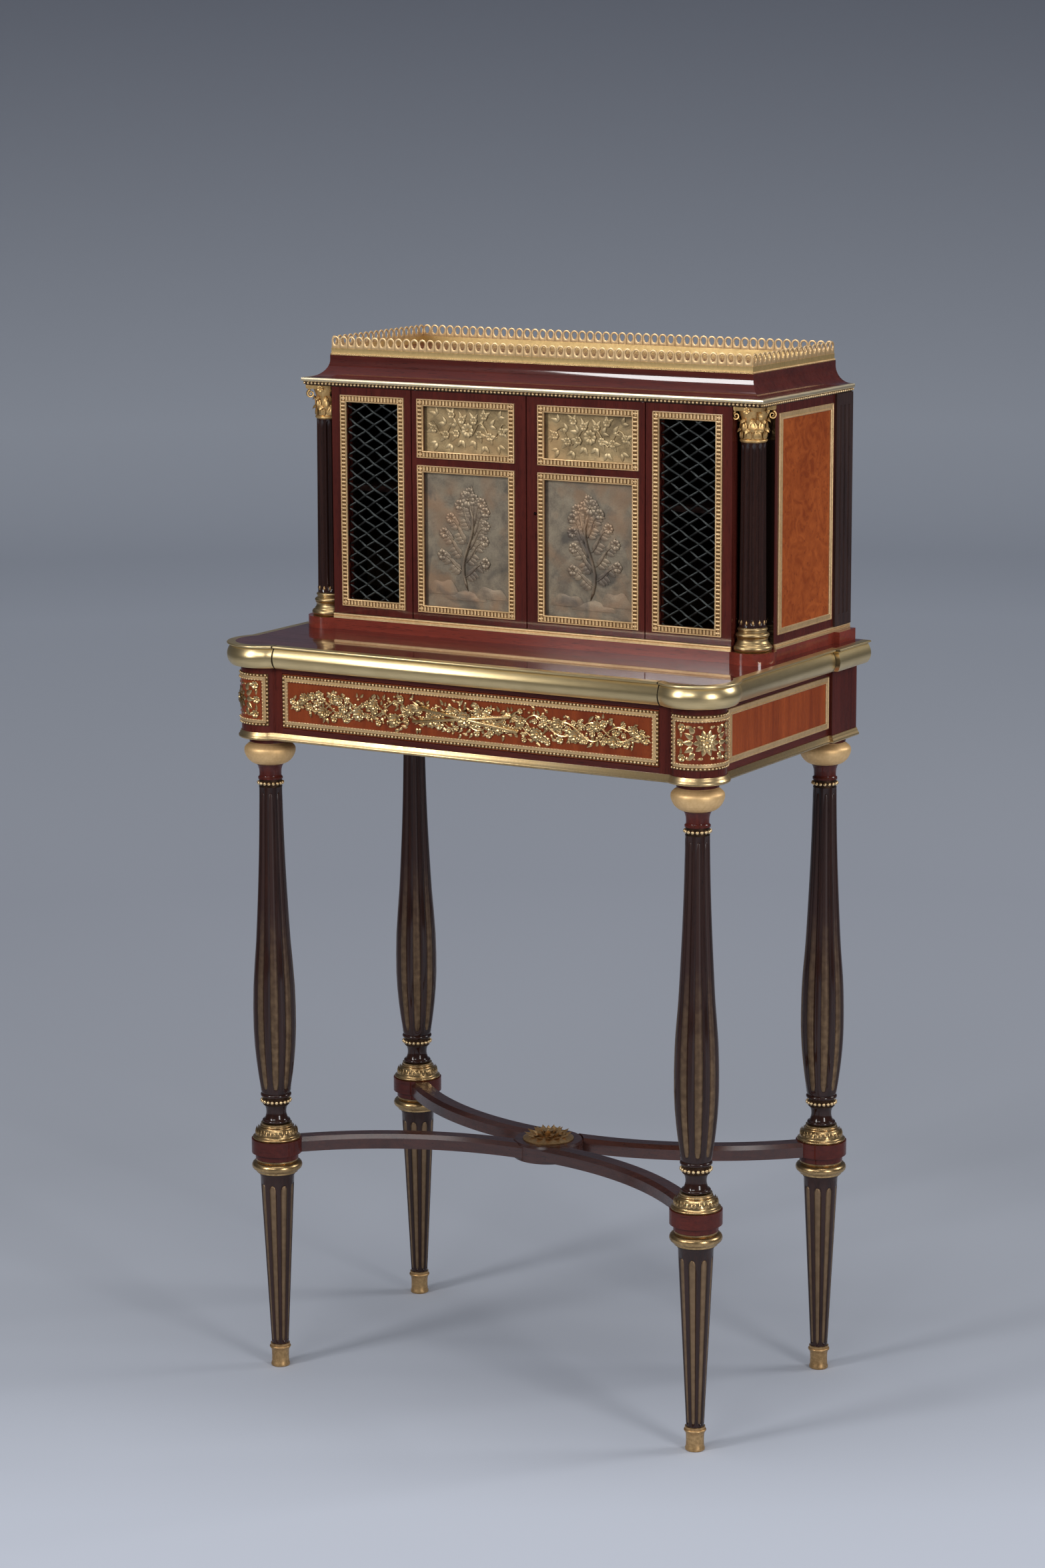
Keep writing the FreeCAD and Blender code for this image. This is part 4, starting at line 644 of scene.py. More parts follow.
def row(name, unit, pitch, paths, finish, facing=(0, 0, 1), crossed=False, body="root"):
    """A gilt piece of copies of unit along paths, each a list of points and whether it closes."""
    points, edges = [], []
    for path, closed in paths:
        first = len(points)
        points += [tuple(point) for point in path]
        edges += [(i, i + 1) for i in range(first, len(points) - 1)]
        if closed:
            edges.append((len(points) - 1, first))
    mesh = bpy.data.meshes.new(name)
    mesh.from_pydata(points, edges, [])
    piece = bpy.data.objects.new(name, mesh)
    bpy.context.scene.collection.objects.link(piece)
    modifier = piece.modifiers.new("row", "NODES")
    modifier.node_group = row_tree
    values = {
        "Unit": unit, "Pitch": pitch, "Finish": finish,
        "Facing": facing, "Face across the path": crossed,
    }
    for item in row_tree.interface.items_tree:
        if item.in_out == "INPUT" and item.name in values:
            modifier[item.identifier] = values[item.name]
    bpy.context.view_layer.update()
    seen = piece.evaluated_get(bpy.context.evaluated_depsgraph_get())
    plain = bpy.data.meshes.new_from_object(seen)
    piece.modifiers.remove(modifier)
    piece.data = plain
    fit(piece, finish, "gilt_bronze", body)


def pattern(name, parts, smooth_to=60):
    """A small mesh at the origin that rows repeat. It is taken away once they are made."""
    unit = shape(name, parts, smooth_to)
    patterns.append(unit)
    return unit


def bead(radius, flat=1.0):
    return turned([(r, z * flat) for r, z in arc(0, 0, radius, -90, 90, 5)], around=8)


def ring_path(x, y, z, radius):
    """A level circle, anticlockwise, so that what faces across it faces outward."""
    steps = 40
    return [
        (x + radius * math.cos(i * math.tau / steps), y + radius * math.sin(i * math.tau / steps), z)
        for i in range(steps)
    ], True


patterns = []
LEG_BEAD = 0.0019
leg_bead = pattern("leg_bead", [bead(LEG_BEAD)])
strings = []
for _, reach, low, high in BEAD_STRINGS:
    strings += [ring_path(*at, (low + high) / 2, reach - LEG_BEAD) for at in LEGS.values()]
row("leg_ring_beads", leg_bead, 0.0047, strings, bead_gilt)


# Drum collars: cast gilt bells that sit over the drums on the leg's dowel, with a wreath of upright
# leaves chased on the swell.


def through(points, steps):
    """A smooth line through the points, with steps spans between each two."""
    ends = [points[0], *points, points[-1]]
    line = []
    for a, b, c, d in zip(ends, ends[1:], ends[2:], ends[3:]):
        for i in range(steps):
            t = i / steps
            line.append(tuple(
                0.5 * (2 * q + (r - p) * t + (2 * p - 5 * q + 4 * r - s) * t ** 2
                       + (3 * q - p - 3 * r + s) * t ** 3)
                for p, q, r, s in zip(a, b, c, d)
            ))
    return [*line, tuple(points[-1])]


bell = [(0, 0.2512), (0.0246, 0.2512)] + arc(0.0240, 0.2526, 0.0012, -80, 80, 6)
bell += [(0.0226, 0.2545), (0.0222, 0.2552)]
bell += through([(0.0222, 0.2552), (0.0216, 0.2580), (0.0200, 0.2612), (0.0178, 0.2632)], 4)
bell += [(0.0176, 0.2638)] + arc(0.0160, 0.2650, 0.0012, -60, 90, 6)
bell += [(0.0158, 0.2672), (0.0162, 0.2680), (0, 0.2680)]
fit(shape("collars_cast", on_legs(bell)), ring_gilt, "gilt_bronze", "root", "leg_collars")


def leaf(length, width, crest=0.25, curl=0.0, thick=0.18, stations=6, belly=0.75):
    """A pointed leaf from the origin along X, its ridge up along Z. curl lifts its tip, and a
    larger belly puts its widest place nearer the tip."""
    rings = []
    for i in range(stations + 1):
        t = i / stations
        half = width / 2 * math.sin(math.pi * min(1, t * 0.92 + 0.08) ** belly)
        x = length * t
        lift = curl * length * t * t
        ridge, under = lift + crest * half * 2, lift - thick * half
        rings.append([(x, -half, lift), (x, 0, ridge), (x, half, lift), (x, 0, under)])
    rings[-1] = [rings[-1][1]] * 4
    rings[0] = [rings[0][3]] * 4
    return skin(rings)


def moved(part, x=0, y=0, z=0, turn=(0, 0, 0)):
    """The part turned by Euler angles in degrees and put at a place."""
    turning = Euler([math.radians(a) for a in turn]).to_matrix()
    points, faces = part
    return [turning @ Vector(point) + Vector((x, y, z)) for point in points], faces


upright_leaf = moved(leaf(0.0078, 0.0046, 0.30), 0, -0.0039, 0, (0, 0, 90))
bell_leaf = pattern("bell_leaf", [upright_leaf])
wreaths = [ring_path(*at, 0.2592, 0.0212) for at in LEGS.values()]
row("collar_leaves", bell_leaf, 0.0050, wreaths, ring_gilt, crossed=True)


# Spools and necks: short turnings, a flared dark spool under each vase and a neck of red mahogany
# that widens to carry the bun.

spool = [(0, 0.2682)] + arc(0.0130, 0.2702, 0.0018, -70, 80, 8) + [(0.0126, 0.2722)]
spool += through([(0.0120, 0.2732), (0.0106, 0.2780), (0.0108, 0.2830), (0.0122, 0.2868)], 5)
spool += [(0.0130, 0.2872), (0.0130, 0.2880), (0, 0.2880)]
fit(shape("spools_turned", on_legs(spool)), dark_legs, "dark_mahogany", "root", "leg_spools")
neck = [(0, 0.6362), (0.0128, 0.6362), (0.0128, 0.6380), (0.0116, 0.6392)]
neck += through([(0.0114, 0.6400), (0.0116, 0.6455), (0.0127, 0.6495), (0.0136, 0.6510)], 4)
neck += [(0.0138, 0.6518), (0, 0.6518)]
fit(shape("necks_turned", on_legs(neck)), mahogany_posts, "mahogany", "root", "leg_top_necks")


# Vases: the long dark stems, turned with a swelling low down, with eight flutes from the ring at
# their foot to the beads at their head. The brass in each flute is rubbed bright in the swelling
# and stained like the wood above it.

VASE_LOW = 0.296
VASE_HIGH = 0.628
VASE_TURN = math.radians(34)
VASE_FLUTES_LOW, VASE_FLUTES_HIGH = 0.3040, 0.6240
vase_line = through(
    [(0.0154, 0.3012), (0.0186, 0.3210), (0.0217, 0.3500), (0.0228, 0.3800), (0.0219, 0.4200),
     (0.0188, 0.4600), (0.0166, 0.5000), (0.0147, 0.5400), (0.0133, 0.5800), (0.0122, VASE_HIGH)], 5
)
heights = [point[1] for point in vase_line]


def vase_radius(z):
    """The vase's plain radius at a height, read along its drawn line."""
    above = next((i for i, height in enumerate(heights) if height > z), len(heights) - 1)
    (r0, z0), (r1, z1) = vase_line[max(above - 1, 0)], vase_line[above]
    return r0 + (r1 - r0) * min(1, max(0, (z - z0) / (z1 - z0)))


vase_flutes = flute_depth(vase_radius, VASE_FLUTES_LOW, VASE_FLUTES_HIGH, VASE_TURN, share=0.36, fall=0.42)
vase = [(0, VASE_LOW), (0.0140, VASE_LOW)] + arc(0.0140, 0.2984, 0.0022, -80, 80, 8)
vase += [(0.0150, 0.3008)] + vase_line[1:] + [(0, VASE_HIGH)]
for corner, at in LEGS.items():
    piece = shape(f"vase_{corner}", [turned(vase, *at, 120, vase_flutes)], 50)
    fit(piece, dark_legs, "dark_mahogany", "root", f"leg_stem_{corner}")
rods = []
for at in LEGS.values():
    rods += flute_rods(vase_radius, 0.3050, 0.6225, VASE_TURN, at, share=0.27, sunk=0.0010)
fading_brass, start, place = new_finish("brass_fading_upward")
height = place.xyz()[2]
rubbed = place.noise(160.0, 3.0)
faded = (height + (rubbed - 0.5) * 0.03).between(0.34, 0.50)
metal = rubbed.between(0.35, 0.65).blend((0.28, 0.18, 0.10), (0.17, 0.105, 0.06))
colour = faded.blend(metal, DARK_PALE)
surface(start, colour, 0.36, rubbed, 0.00005, Metallic=1 - faded * 0.9)
fit(shape("vase_flute_brasses", rods, 60), fading_brass, "polished_brass")


# Buns: flattened balls of matt gilt bronze between the necks and the frieze, with a thin step
# above, turned hollow and slipped over the neck's dowel.

bun = [(0, 0.6521), (0.0140, 0.6521)]
bun += through([(0.0150, 0.6524), (0.0190, 0.6540), (0.0232, 0.6580), (0.0258, 0.6630), (0.0265, 0.6668),
                (0.0258, 0.6700), (0.0230, 0.6728), (0.0196, 0.6752)], 4)
bun += [(0.0192, 0.6764), (0.0200, 0.6780), (0.0206, 0.6796), (0.0206, 0.6808), (0, 0.6808)]
soft_gilt = bronze("matt_gilt", (0.95, 0.64, 0.31), (0.75, 0.48, 0.21), 0.46, 300.0, 0.00003, 0.65)
fit(shape("buns_cast", on_legs(bun)), soft_gilt, "gilt_bronze", "root", "leg_buns")


# Platform rose: a cast gilt cluster of leaves and small flowers on a low dish, screwed down where
# the stretcher's arms meet.

ROSE_AT = (0, 0.008)
ROSE_SEAT = 0.2510


def blossom(radius, petals, rise=0.25, heart=0.24, fullness=6.4):
    """A flower at the origin that faces along Z: a ring of petals round a domed heart. A lower
    fullness leaves gaps between the petals."""
    petal = leaf(radius, radius * fullness / petals, 0.18, rise, 0.3, 5, 1.5)
    parts = [moved(petal, turn=(0, 0, 360 * k / petals)) for k in range(petals)]
    dome = arc(0, radius * rise * 0.3, radius * heart, -90, 90, 4)
    return parts + [turned(dome, around=8)]


def out_from(at, reach, degrees):
    """The place on a plan at a reach from another place, at an angle from the right."""
    angle = math.radians(degrees)
    return at[0] + reach * math.cos(angle), at[1] + reach * math.sin(angle)


dish = [(0, 0), (0.0265, 0), (0.0268, 0.001), (0.0240, 0.0026), (0.012, 0.0040), (0, 0.0044)]
cluster = [moved(turned(dish, *ROSE_AT), z=ROSE_SEAT)]
for ring, (count, length, lift) in enumerate(((12, 0.0135, 18), (9, 0.0115, 34), (6, 0.0085, 52))):
    for k in range(count):
        angle = 360 * (k + ring * 0.5) / count
        at = out_from(ROSE_AT, 0.0128 - ring * 0.0042, angle)
        seat = ROSE_SEAT + 0.0016 + ring * 0.0012
        cluster.append(moved(leaf(length, 0.0068, 0.3, 0.1), *at, seat, (0, -lift, angle)))
for k in range(5):
    angle = 72 * k + 20
    at = out_from(ROSE_AT, 0.013, angle)
    tilt = (14 * math.sin(math.radians(angle)), 14 * math.cos(math.radians(angle)), 40 * k)
    cluster += [moved(part, *at, ROSE_SEAT + 0.0055, tilt) for part in blossom(0.0052, 5)]
cluster += [moved(part, *ROSE_AT, ROSE_SEAT + 0.0078) for part in blossom(0.0068, 6)]
fit(shape("rose_of_leaves", cluster), gilt, "gilt_bronze", "root", "platform_rose")


# Frieze base: a gilt moulding under the frieze, run in lengths round the front, the round posts
# and the sides, mitred where they meet.

BACK_PLANE = 0.1682
FRIEZE_FRONT = -0.1522
POST_RADIUS = 0.0285
BLOCK_SIDE, BLOCK_FRONT = 0.2745, 0.112


def eared(front, side, ear, block, block_front, steps=14):
    """A plan with round ears about the front legs and square ones behind, from the back left corner
    round by the front to the back right one."""
    low = math.atan2(front - LEG_FRONT, -math.sqrt(ear ** 2 - (front - LEG_FRONT) ** 2))
    high = math.atan2(math.sqrt(ear ** 2 - (side - LEG_X) ** 2), side - LEG_X)
    right = [(LEG_X + ear * math.cos(a), LEG_FRONT + ear * math.sin(a))
             for a in (low + (high - low) * i / steps for i in range(steps + 1))]
    right += [(side, block_front), (block, block_front), (block, BACK_PLANE)]
    return [(-x, y) for x, y in reversed(right)] + right


def run_moulding(plan, profile, closed=False):
    """A profile of (distance outward, height) run along a plan, mitred at its corners."""
    rings = []
    count = len(plan)
    for i in range(count):
        here = Vector(plan[i])
        before = here - Vector(plan[i - 1])
        after = Vector(plan[(i + 1) % count]) - here
        if not closed and i == 0:
            before = after
        if not closed and i == count - 1:
            after = before
        n0 = Vector((before.y, -before.x)).normalized()
        n1 = Vector((after.y, -after.x)).normalized()
        mitre = (n0 + n1) / (1 + n0.dot(n1))
        rings.append([(here.x + mitre.x * out, here.y + mitre.y * out, z) for out, z in profile])
    if closed:
        return skin(rings, along=True)
    points, faces = skin(rings)
    wide = len(profile)
    return points, faces + [tuple(range(wide)), tuple(range(len(points) - wide, len(points)))]


frieze_plan = eared(FRIEZE_FRONT, FRIEZE_SIDE, POST_RADIUS, BLOCK_SIDE, BLOCK_FRONT)
base_profile = [(0, 0.6812), (0.0026, 0.6812), (0.0033, 0.6818), (0.0035, 0.6828), (0.0033, 0.6840),
                (0.0022, 0.6850), (0.0020, 0.6862), (0.0012, 0.6876), (0.0008, 0.6888), (0, 0.6888)]
base_gilt = bronze("burnished_gilt", (0.72, 0.53, 0.28), (0.46, 0.32, 0.15), 0.28, 300.0, 0.00002, 0.93)
piece = shape("frieze_base_gilt", [run_moulding(frieze_plan, base_profile)], 50)
fit(piece, base_gilt, "gilt_bronze", "root", "frieze_base_moulding")


# Frames: gilt bands mitred round the frieze's and the cabinet's veneers. The drawer and the round
# posts have a row of fine beads outside a plain band; the sides have a band alone, dished between
# two edges.

FRAME_LOW = 0.696
FRAME_HIGH = 0.750
FRAME_MIDDLE = (FRAME_LOW + FRAME_HIGH) / 2
FRAME_TALL = FRAME_HIGH - FRAME_LOW


def on_front(x, face, z):
    """Places (across, up, lift) on an upright plane that faces the front."""
    return lambda a, b, lift: (x + a, face - lift, z + b)


def on_side(way, face, y, z):
    """Places (across, up, lift) on the left or right side, with across towards the back."""
    return lambda a, b, lift: (way * (face + lift), y + a, z + b)


def on_post(way, z):
    """Places (across, up, lift) round a front post, across measured on its face from its corner."""
    def put(a, b, lift):
        angle = -math.pi / 4 + a / POST_RADIUS
        reach = POST_RADIUS + lift
        return (way * (LEG_X + reach * math.cos(angle)), LEG_FRONT + reach * math.sin(angle), z + b)
    return put


def band(width, height, profile, put, steps=1):
    """A mitred frame from (distance in from its outer edge, lift) pairs. Its level runs are cut in
    steps, to follow a round face."""
    w, h = width / 2, height / 2
    corners = [(-w, -h), (w, -h), (w, h), (-w, h)]
    rings = []
    for (a0, b0), (a1, b1) in zip(corners, corners[1:] + corners[:1]):
        level_run = b0 == b1
        count = steps if level_run else 1
        for k in range(count):
            a = a0 + (a1 - a0) * k / count
            b = b0 + (b1 - b0) * k / count
            in_a = -math.copysign(1, a0) if k == 0 or not level_run else 0
            in_b = -math.copysign(1, b0) if k == 0 or level_run else 0
            rings.append([put(a + in_a * deep, b + in_b * deep, lift) for deep, lift in profile])
    return skin(rings, along=True)


def edge_path(width, height, put, lift, steps=1):
    """The closed line round a frame, for a row of beads."""
    points, _ = band(width, height, [(0, lift)], put, steps)
    return points, True


plain_band = [(0.0001, 0), (0.0001, 0.0009), (0.0005, 0.0014), (0.0011, 0.0014), (0.0016, 0.0008),
              (0.0048, 0.0008), (0.0052, 0.0016), (0.0060, 0.0018), (0.0065, 0.0012), (0.0066, 0)]
side_frames = []
frames_of_side = (
    (0.2188, FRAME_TALL, FRIEZE_SIDE, -0.0004, FRAME_MIDDLE),
    (0.1195, 0.2195, CABINET_SIDE, 0.06645, 0.91535),
)
for way in (-1, 1):
    for wide, tall, face, y, z in frames_of_side:
        side_frames.append(band(wide, tall, plain_band, on_side(way, face, y, z)))
fit(shape("side_frames_gilt", side_frames, 30), pale_gilt, "gilt_bronze", "root", "side_frames")

inner_band = [(0.0028, 0), (0.0028, 0.0008), (0.0032, 0.0012), (0.0054, 0.0012), (0.0058, 0.0017),
              (0.0064, 0.0016), (0.0066, 0.0010), (0.0066, 0)]
bead_bed = [(0.0001, 0), (0.0001, 0.0006), (0.0028, 0.0006), (0.0028, 0)]
fine_bead = pattern("fine_bead", [bead(0.0014, 0.8)])
seed_bead = pattern("seed_bead", [bead(0.0010)])
FINE_PITCH = 0.0041
SEED_PITCH = 0.0036
DRAWER_WIDE = 0.437
drawer_face = on_front(0, FRIEZE_FRONT, FRAME_MIDDLE)
drawer_frame = [band(DRAWER_WIDE, FRAME_TALL, inner_band, drawer_face)]
fit(shape("drawer_frame", drawer_frame, 30), pale_gilt, "gilt_bronze", "drawer", "drawer_moulding")
# The bed under the beads takes the painted shade.
bed = shape("drawer_frame_bed", [band(DRAWER_WIDE, FRAME_TALL, bead_bed, drawer_face)], 30)
fit(bed, shadow_gilt, "gilt_bronze", "drawer")
BEAD_LINE, BEAD_LIFT = 0.0029, 0.0007
SEED_LINE, SEED_LIFT = 0.0122, 0.0014
FORWARD = (0, -1, 0)
paths = [edge_path(DRAWER_WIDE - BEAD_LINE, FRAME_TALL - BEAD_LINE, drawer_face, BEAD_LIFT)]
row("drawer_frame_beads", fine_bead, FINE_PITCH, paths, bead_gilt, FORWARD, body="drawer")
paths = [edge_path(DRAWER_WIDE - SEED_LINE, FRAME_TALL - SEED_LINE, drawer_face, SEED_LIFT)]
row("drawer_frame_seeds", seed_bead, SEED_PITCH, paths, bead_gilt, FORWARD, body="drawer")

POST_WIDE = math.radians(156.8) * POST_RADIUS
POST_STEPS = 24
VENEER_WIDE = 0.94 * POST_WIDE
VENEER_HALF_TALL = 0.022
veneer_section = [
    (-VENEER_HALF_TALL, 0), (-VENEER_HALF_TALL, LEAF_OF_VENEER),
    (VENEER_HALF_TALL, LEAF_OF_VENEER), (VENEER_HALF_TALL, 0),
]
post_frames, post_beds, post_paths, seed_paths, post_veneers = [], [], [], [], []
for way in (-1, 1):
    put = on_post(way, FRAME_MIDDLE)
    post_frames.append(band(POST_WIDE, FRAME_TALL, inner_band, put, POST_STEPS))
    post_beds.append(band(POST_WIDE, FRAME_TALL, bead_bed, put, POST_STEPS))
    post_paths.append(
        edge_path(POST_WIDE - BEAD_LINE, FRAME_TALL - BEAD_LINE, put, BEAD_LIFT, POST_STEPS)
    )
    seed_paths.append(
        edge_path(POST_WIDE - SEED_LINE, FRAME_TALL - SEED_LINE, put, SEED_LIFT, POST_STEPS)
    )
    post_veneers.append(skin([
        [put(VENEER_WIDE * (i / POST_STEPS - 0.5), b, lift) for b, lift in veneer_section]
        for i in range(POST_STEPS + 1)
    ]))
fit(shape("post_frames", post_frames, 30), pale_gilt, "gilt_bronze", "root", "corner_mounts")
fit(shape("post_frame_beds", post_beds, 30), shadow_gilt, "gilt_bronze")
row("post_frame_beads", fine_bead, FINE_PITCH, post_paths, bead_gilt)
row("post_frame_seeds", seed_bead, SEED_PITCH, seed_paths, bead_gilt)
fit(shape("post_veneers", post_veneers), satinwood_front, "satinwood")


# Post rosettes: a cast gilt flower of many petals on each round post, with a spray of leaves and a
# flower to each side and a small flower in each corner, all pinned to the veneer.


def laid(parts, put, a, b, lift, size=1.0, turn=0.0):
    """Parts drawn flat about the origin, laid on a surface at across a and up b."""
    c, s = math.cos(math.radians(turn)) * size, math.sin(math.radians(turn)) * size
    return [
        ([put(a + x * c - y * s, b + x * s + y * c, lift + z * size) for x, y, z in points], faces)
        for points, faces in parts
    ]


def stalk(points, radius, sides=5):
    """A round stalk through points (across, up, lift), closed at both ends."""
    rings = []
    line = [Vector(point) for point in points]
    for i, here in enumerate(line):
        along = (line[min(i + 1, len(line) - 1)] - line[max(i - 1, 0)]).normalized()
        side = along.cross(Vector((0, 0, 1))).normalized()
        over = side.cross(along)
        size = 0 if i in (0, len(line) - 1) else radius
        rings.append([
            here + side * (size * math.cos(angle)) + over * (size * math.sin(angle))
            for angle in (k * math.tau / sides for k in range(sides))
        ])
    return skin(rings)


bright, hollow = (0.88, 0.63, 0.32), (0.44, 0.275, 0.11)
festoon_gilt = bronze("fine_chased_gilt", bright, hollow, 0.24, 500.0, metal=0.92)
spray = (
    (0, 0, 0.0110), (0.0040, 32, 0.0106), (-0.0040, -32, 0.0106),
    (0.0086, 66, 0.0092), (-0.0086, -66, 0.0092),
)
rosettes = []
for way in (-1, 1):
    put = on_post(way, FRAME_MIDDLE)
    rosettes += laid(blossom(0.0134, 10, 0.05, 0.20, 4.0), put, 0, 0, 0.0002)
    rosettes += laid(blossom(0.0084, 10, 0.10, 0.24, 5.0), put, 0, 0, 0.0009, 1, 18)
    rosettes += laid(blossom(0.0056, 7, 0.20, 0.30), put, 0, 0, 0.0018)
    for hand in (-1, 1):
        for b, turn, length in spray:
            turn = turn if hand > 0 else 180 - turn
            rosettes += laid([leaf(length, 0.0056, 0.22, 0.08)], put, hand * 0.0128, b, 0.0002, 1, turn)
        rosettes += laid(blossom(0.0042, 7), put, hand * 0.0262, 0, 0.0003)
        for b in (-0.0148, 0.0148):
            up = 1 if b > 0 else -1
            rosettes += laid(blossom(0.0044, 6), put, hand * 0.0246, b, 0.0003)
            corner_leaves = (
                (0.0078, 0.0036, 0.0215, b, 90 + 90 * hand - 12 * up * hand),
                (0.0070, 0.0034, 0.0258, b - up * 0.0034, -90 * up),
                (0.0066, 0.0032, 0.0030, b, 90 - 90 * hand + 10 * up * hand),
            )
            for length, width, a, foot_b, turn in corner_leaves:
                rosettes += laid([leaf(length, width, 0.3)], put, hand * a, foot_b, 0.0002, 1, turn)
            rosettes += laid([bead(0.0013)], put, hand * 0.0118, b * 1.04, 0.0004)
fit(shape("post_rosettes", rosettes, 60), festoon_gilt, "gilt_bronze")


# Drawer festoon: a long gilt garland of small flowers, leaves and berries that swells and narrows
# along the drawer, with two crossed torches in its middle. Cast thin and pinned to the satinwood.

FESTOON_HALF = 0.206
chance = random.Random(11)
festoon = []


def garland_half(t):
    """Half the garland's height, from its middle to its tip as t goes from 0 to 1."""
    swell = 0.0158 + 0.0030 * math.cos(t * math.tau * 2.6)
    return swell * (1 - 0.30 * t * t) * min(1, 9 * (1 - t) + 0.35)


STATIONS = 58
LANES = 6
LOOSE = 0.0018
FLOWERS_TO, BERRIES_TO, LEAVES_TO = 0.16, 0.27, 0.86
BLOOMS = (
    (0.08, 0.9), (0.19, 1.15), (0.31, 0.9), (0.40, 1.1), (0.52, 0.95),
    (0.61, 1.1), (0.73, 0.9), (0.82, 1.0), (0.93, 0.85),
)
TORCH = (
    (-0.062, -0.0075, 0.0022), (-0.060, -0.0072, 0.0024),
    (0.052, 0.0068, 0.0024), (0.054, 0.0070, 0.0022),
)
for side in (-1, 1):
    for i in range(STATIONS):
        t = (i + 0.5) / STATIONS
        a = side * FESTOON_HALF * t
        for lane in range(LANES):
            share = (lane + 0.5) / LANES * 2 - 1
            b = garland_half(t) * share + chance.uniform(-LOOSE, LOOSE)
            at = a + chance.uniform(-LOOSE, LOOSE)
            pick, turn, size = chance.random(), chance.uniform(0, 360), chance.uniform(0.8, 1.25)
            if pick < FLOWERS_TO:
                festoon += laid(blossom(0.0036, 6, 0.22, 0.30), drawer_face, at, b, 0.0009, size, turn)
            elif pick < BERRIES_TO:
                festoon += laid([bead(0.0013)], drawer_face, at, b, 0.0010, size)
            elif pick < LEAVES_TO:
                sprout = [leaf(0.0060, 0.0030, 0.3, 0.14, 0.2, 5)]
                festoon += laid(sprout, drawer_face, at, b, 0.0005, size, turn)
    for offset in (0.0, 0.5):
        line = []
        for i in range(41):
            t = i / 40
            up = 0.62 * garland_half(t) * math.sin(math.tau * (t * 3.1 + offset))
            line.append((side * (FESTOON_HALF - 0.006) * t, up, 0.0009))
        festoon += laid([stalk(line, 0.0008)], drawer_face, 0, 0, 0)
    for t, size in BLOOMS:
        a, b = side * FESTOON_HALF * t, 0.55 * garland_half(t) * math.sin(t * 29)
        festoon += laid(blossom(0.0068, 9, 0.16, 0.2), drawer_face, a, b, 0.0010, size)
        festoon += laid(blossom(0.0042, 6, 0.30, 0.3), drawer_face, a, b, 0.0018, size, 20)
    torch = [(side * a, b, lift) for a, b, lift in TORCH]
    festoon += laid([stalk(torch, 0.0017, 8)], drawer_face, 0, 0, 0)
    flame = [leaf(0.0098, 0.0034, 0.3, 0.10)]
    for turn in (-27, -5, 19, 41):
        turn = turn if side > 0 else 180 - turn
        festoon += laid(flame, drawer_face, side * 0.053, 0.0069, 0.0018, 1, turn)
festoon += laid(blossom(0.0090, 10, 0.18, 0.22), drawer_face, 0, 0, 0.0022)
festoon += laid(blossom(0.0056, 7, 0.26, 0.3), drawer_face, 0, 0, 0.0030, 1, 20)
fit(shape("festoon_cast", festoon, 60), festoon_gilt, "gilt_bronze", "drawer", "drawer_festoon")


# Writing top: a mahogany panel in a heavy brass edge, flat above, with a thin upper fillet, a quirk
# and a broad quarter round under it, returned round the ears.

TOP_FRONT = -0.164
EAR_RADIUS = 0.0425
EAR_BACK = 0.0962
top_plan = eared(TOP_FRONT, 0.286, EAR_RADIUS, 0.2905, EAR_BACK, 20)
TOP_LOW = 0.757
TOP_HIGH = 0.7805
edge = [(-0.0090, TOP_LOW), (-0.0090, TOP_HIGH), (-0.0012, TOP_HIGH)]
edge += [(-0.0005, 0.78030), (-0.0001, 0.77985), (0, 0.7793), (-0.0001, 0.7788)]
edge += [(-0.0006, 0.7783), (-0.0036, 0.7781), (-0.0036, 0.7772)]
edge += through([(-0.0034, 0.7770), (-0.0022, 0.7750), (-0.0010, 0.7724), (-0.0002, 0.7696), (0, 0.7672),
                 (-0.0004, 0.7640), (-0.0016, 0.7608), (-0.0034, 0.7582)], 4)
edge += [(-0.0048, TOP_LOW)]
EAR_SEAM = LEG_X - math.sqrt(EAR_RADIUS ** 2 - (LEG_FRONT - TOP_FRONT) ** 2)
edge_brass, start, place = new_finish("edge_brass")
x, y, _ = place.xyz()
drawn = start.node("ShaderNodeMapping", Vector=place, Scale=(0.1, 0.1, 1.0)).noise(900.0)
cloud = place.noise(30.0, 3.0)
# Painted shade: dark lines in the inside corners where the ears meet the front run and at the back step.
from_seam = abs(abs(x) - EAR_SEAM)
seams_painted_shade = (1 - from_seam.between(0.0006, 0.0011)) * (0 - y).between(0.150, 0.151)
from_step = abs(y - EAR_BACK)
seams_painted_shade = seams_painted_shade + (1 - from_step.between(0.0004, 0.0016)) * 0.85
colour = (drawn * 0.4 + cloud * 0.6).between(0.3, 0.7).blend((0.82, 0.64, 0.34), (0.66, 0.50, 0.25))
colour = seams_painted_shade.blend(colour, (0.03, 0.02, 0.01))
surface(start, colour, cloud * 0.05 + 0.27 + seams_painted_shade * 0.4, drawn, 0.000001, Metallic=0.92)
piece = shape("top_edge_brass", [run_moulding(top_plan, edge)], 35)
fit(piece, edge_brass, "polished_brass", "root", "top_brass_edge")


# Foot strip: a flat gilt band pinned along the foot of the cabinet, under the doors and down both
# sides, with a bead at its upper edge.

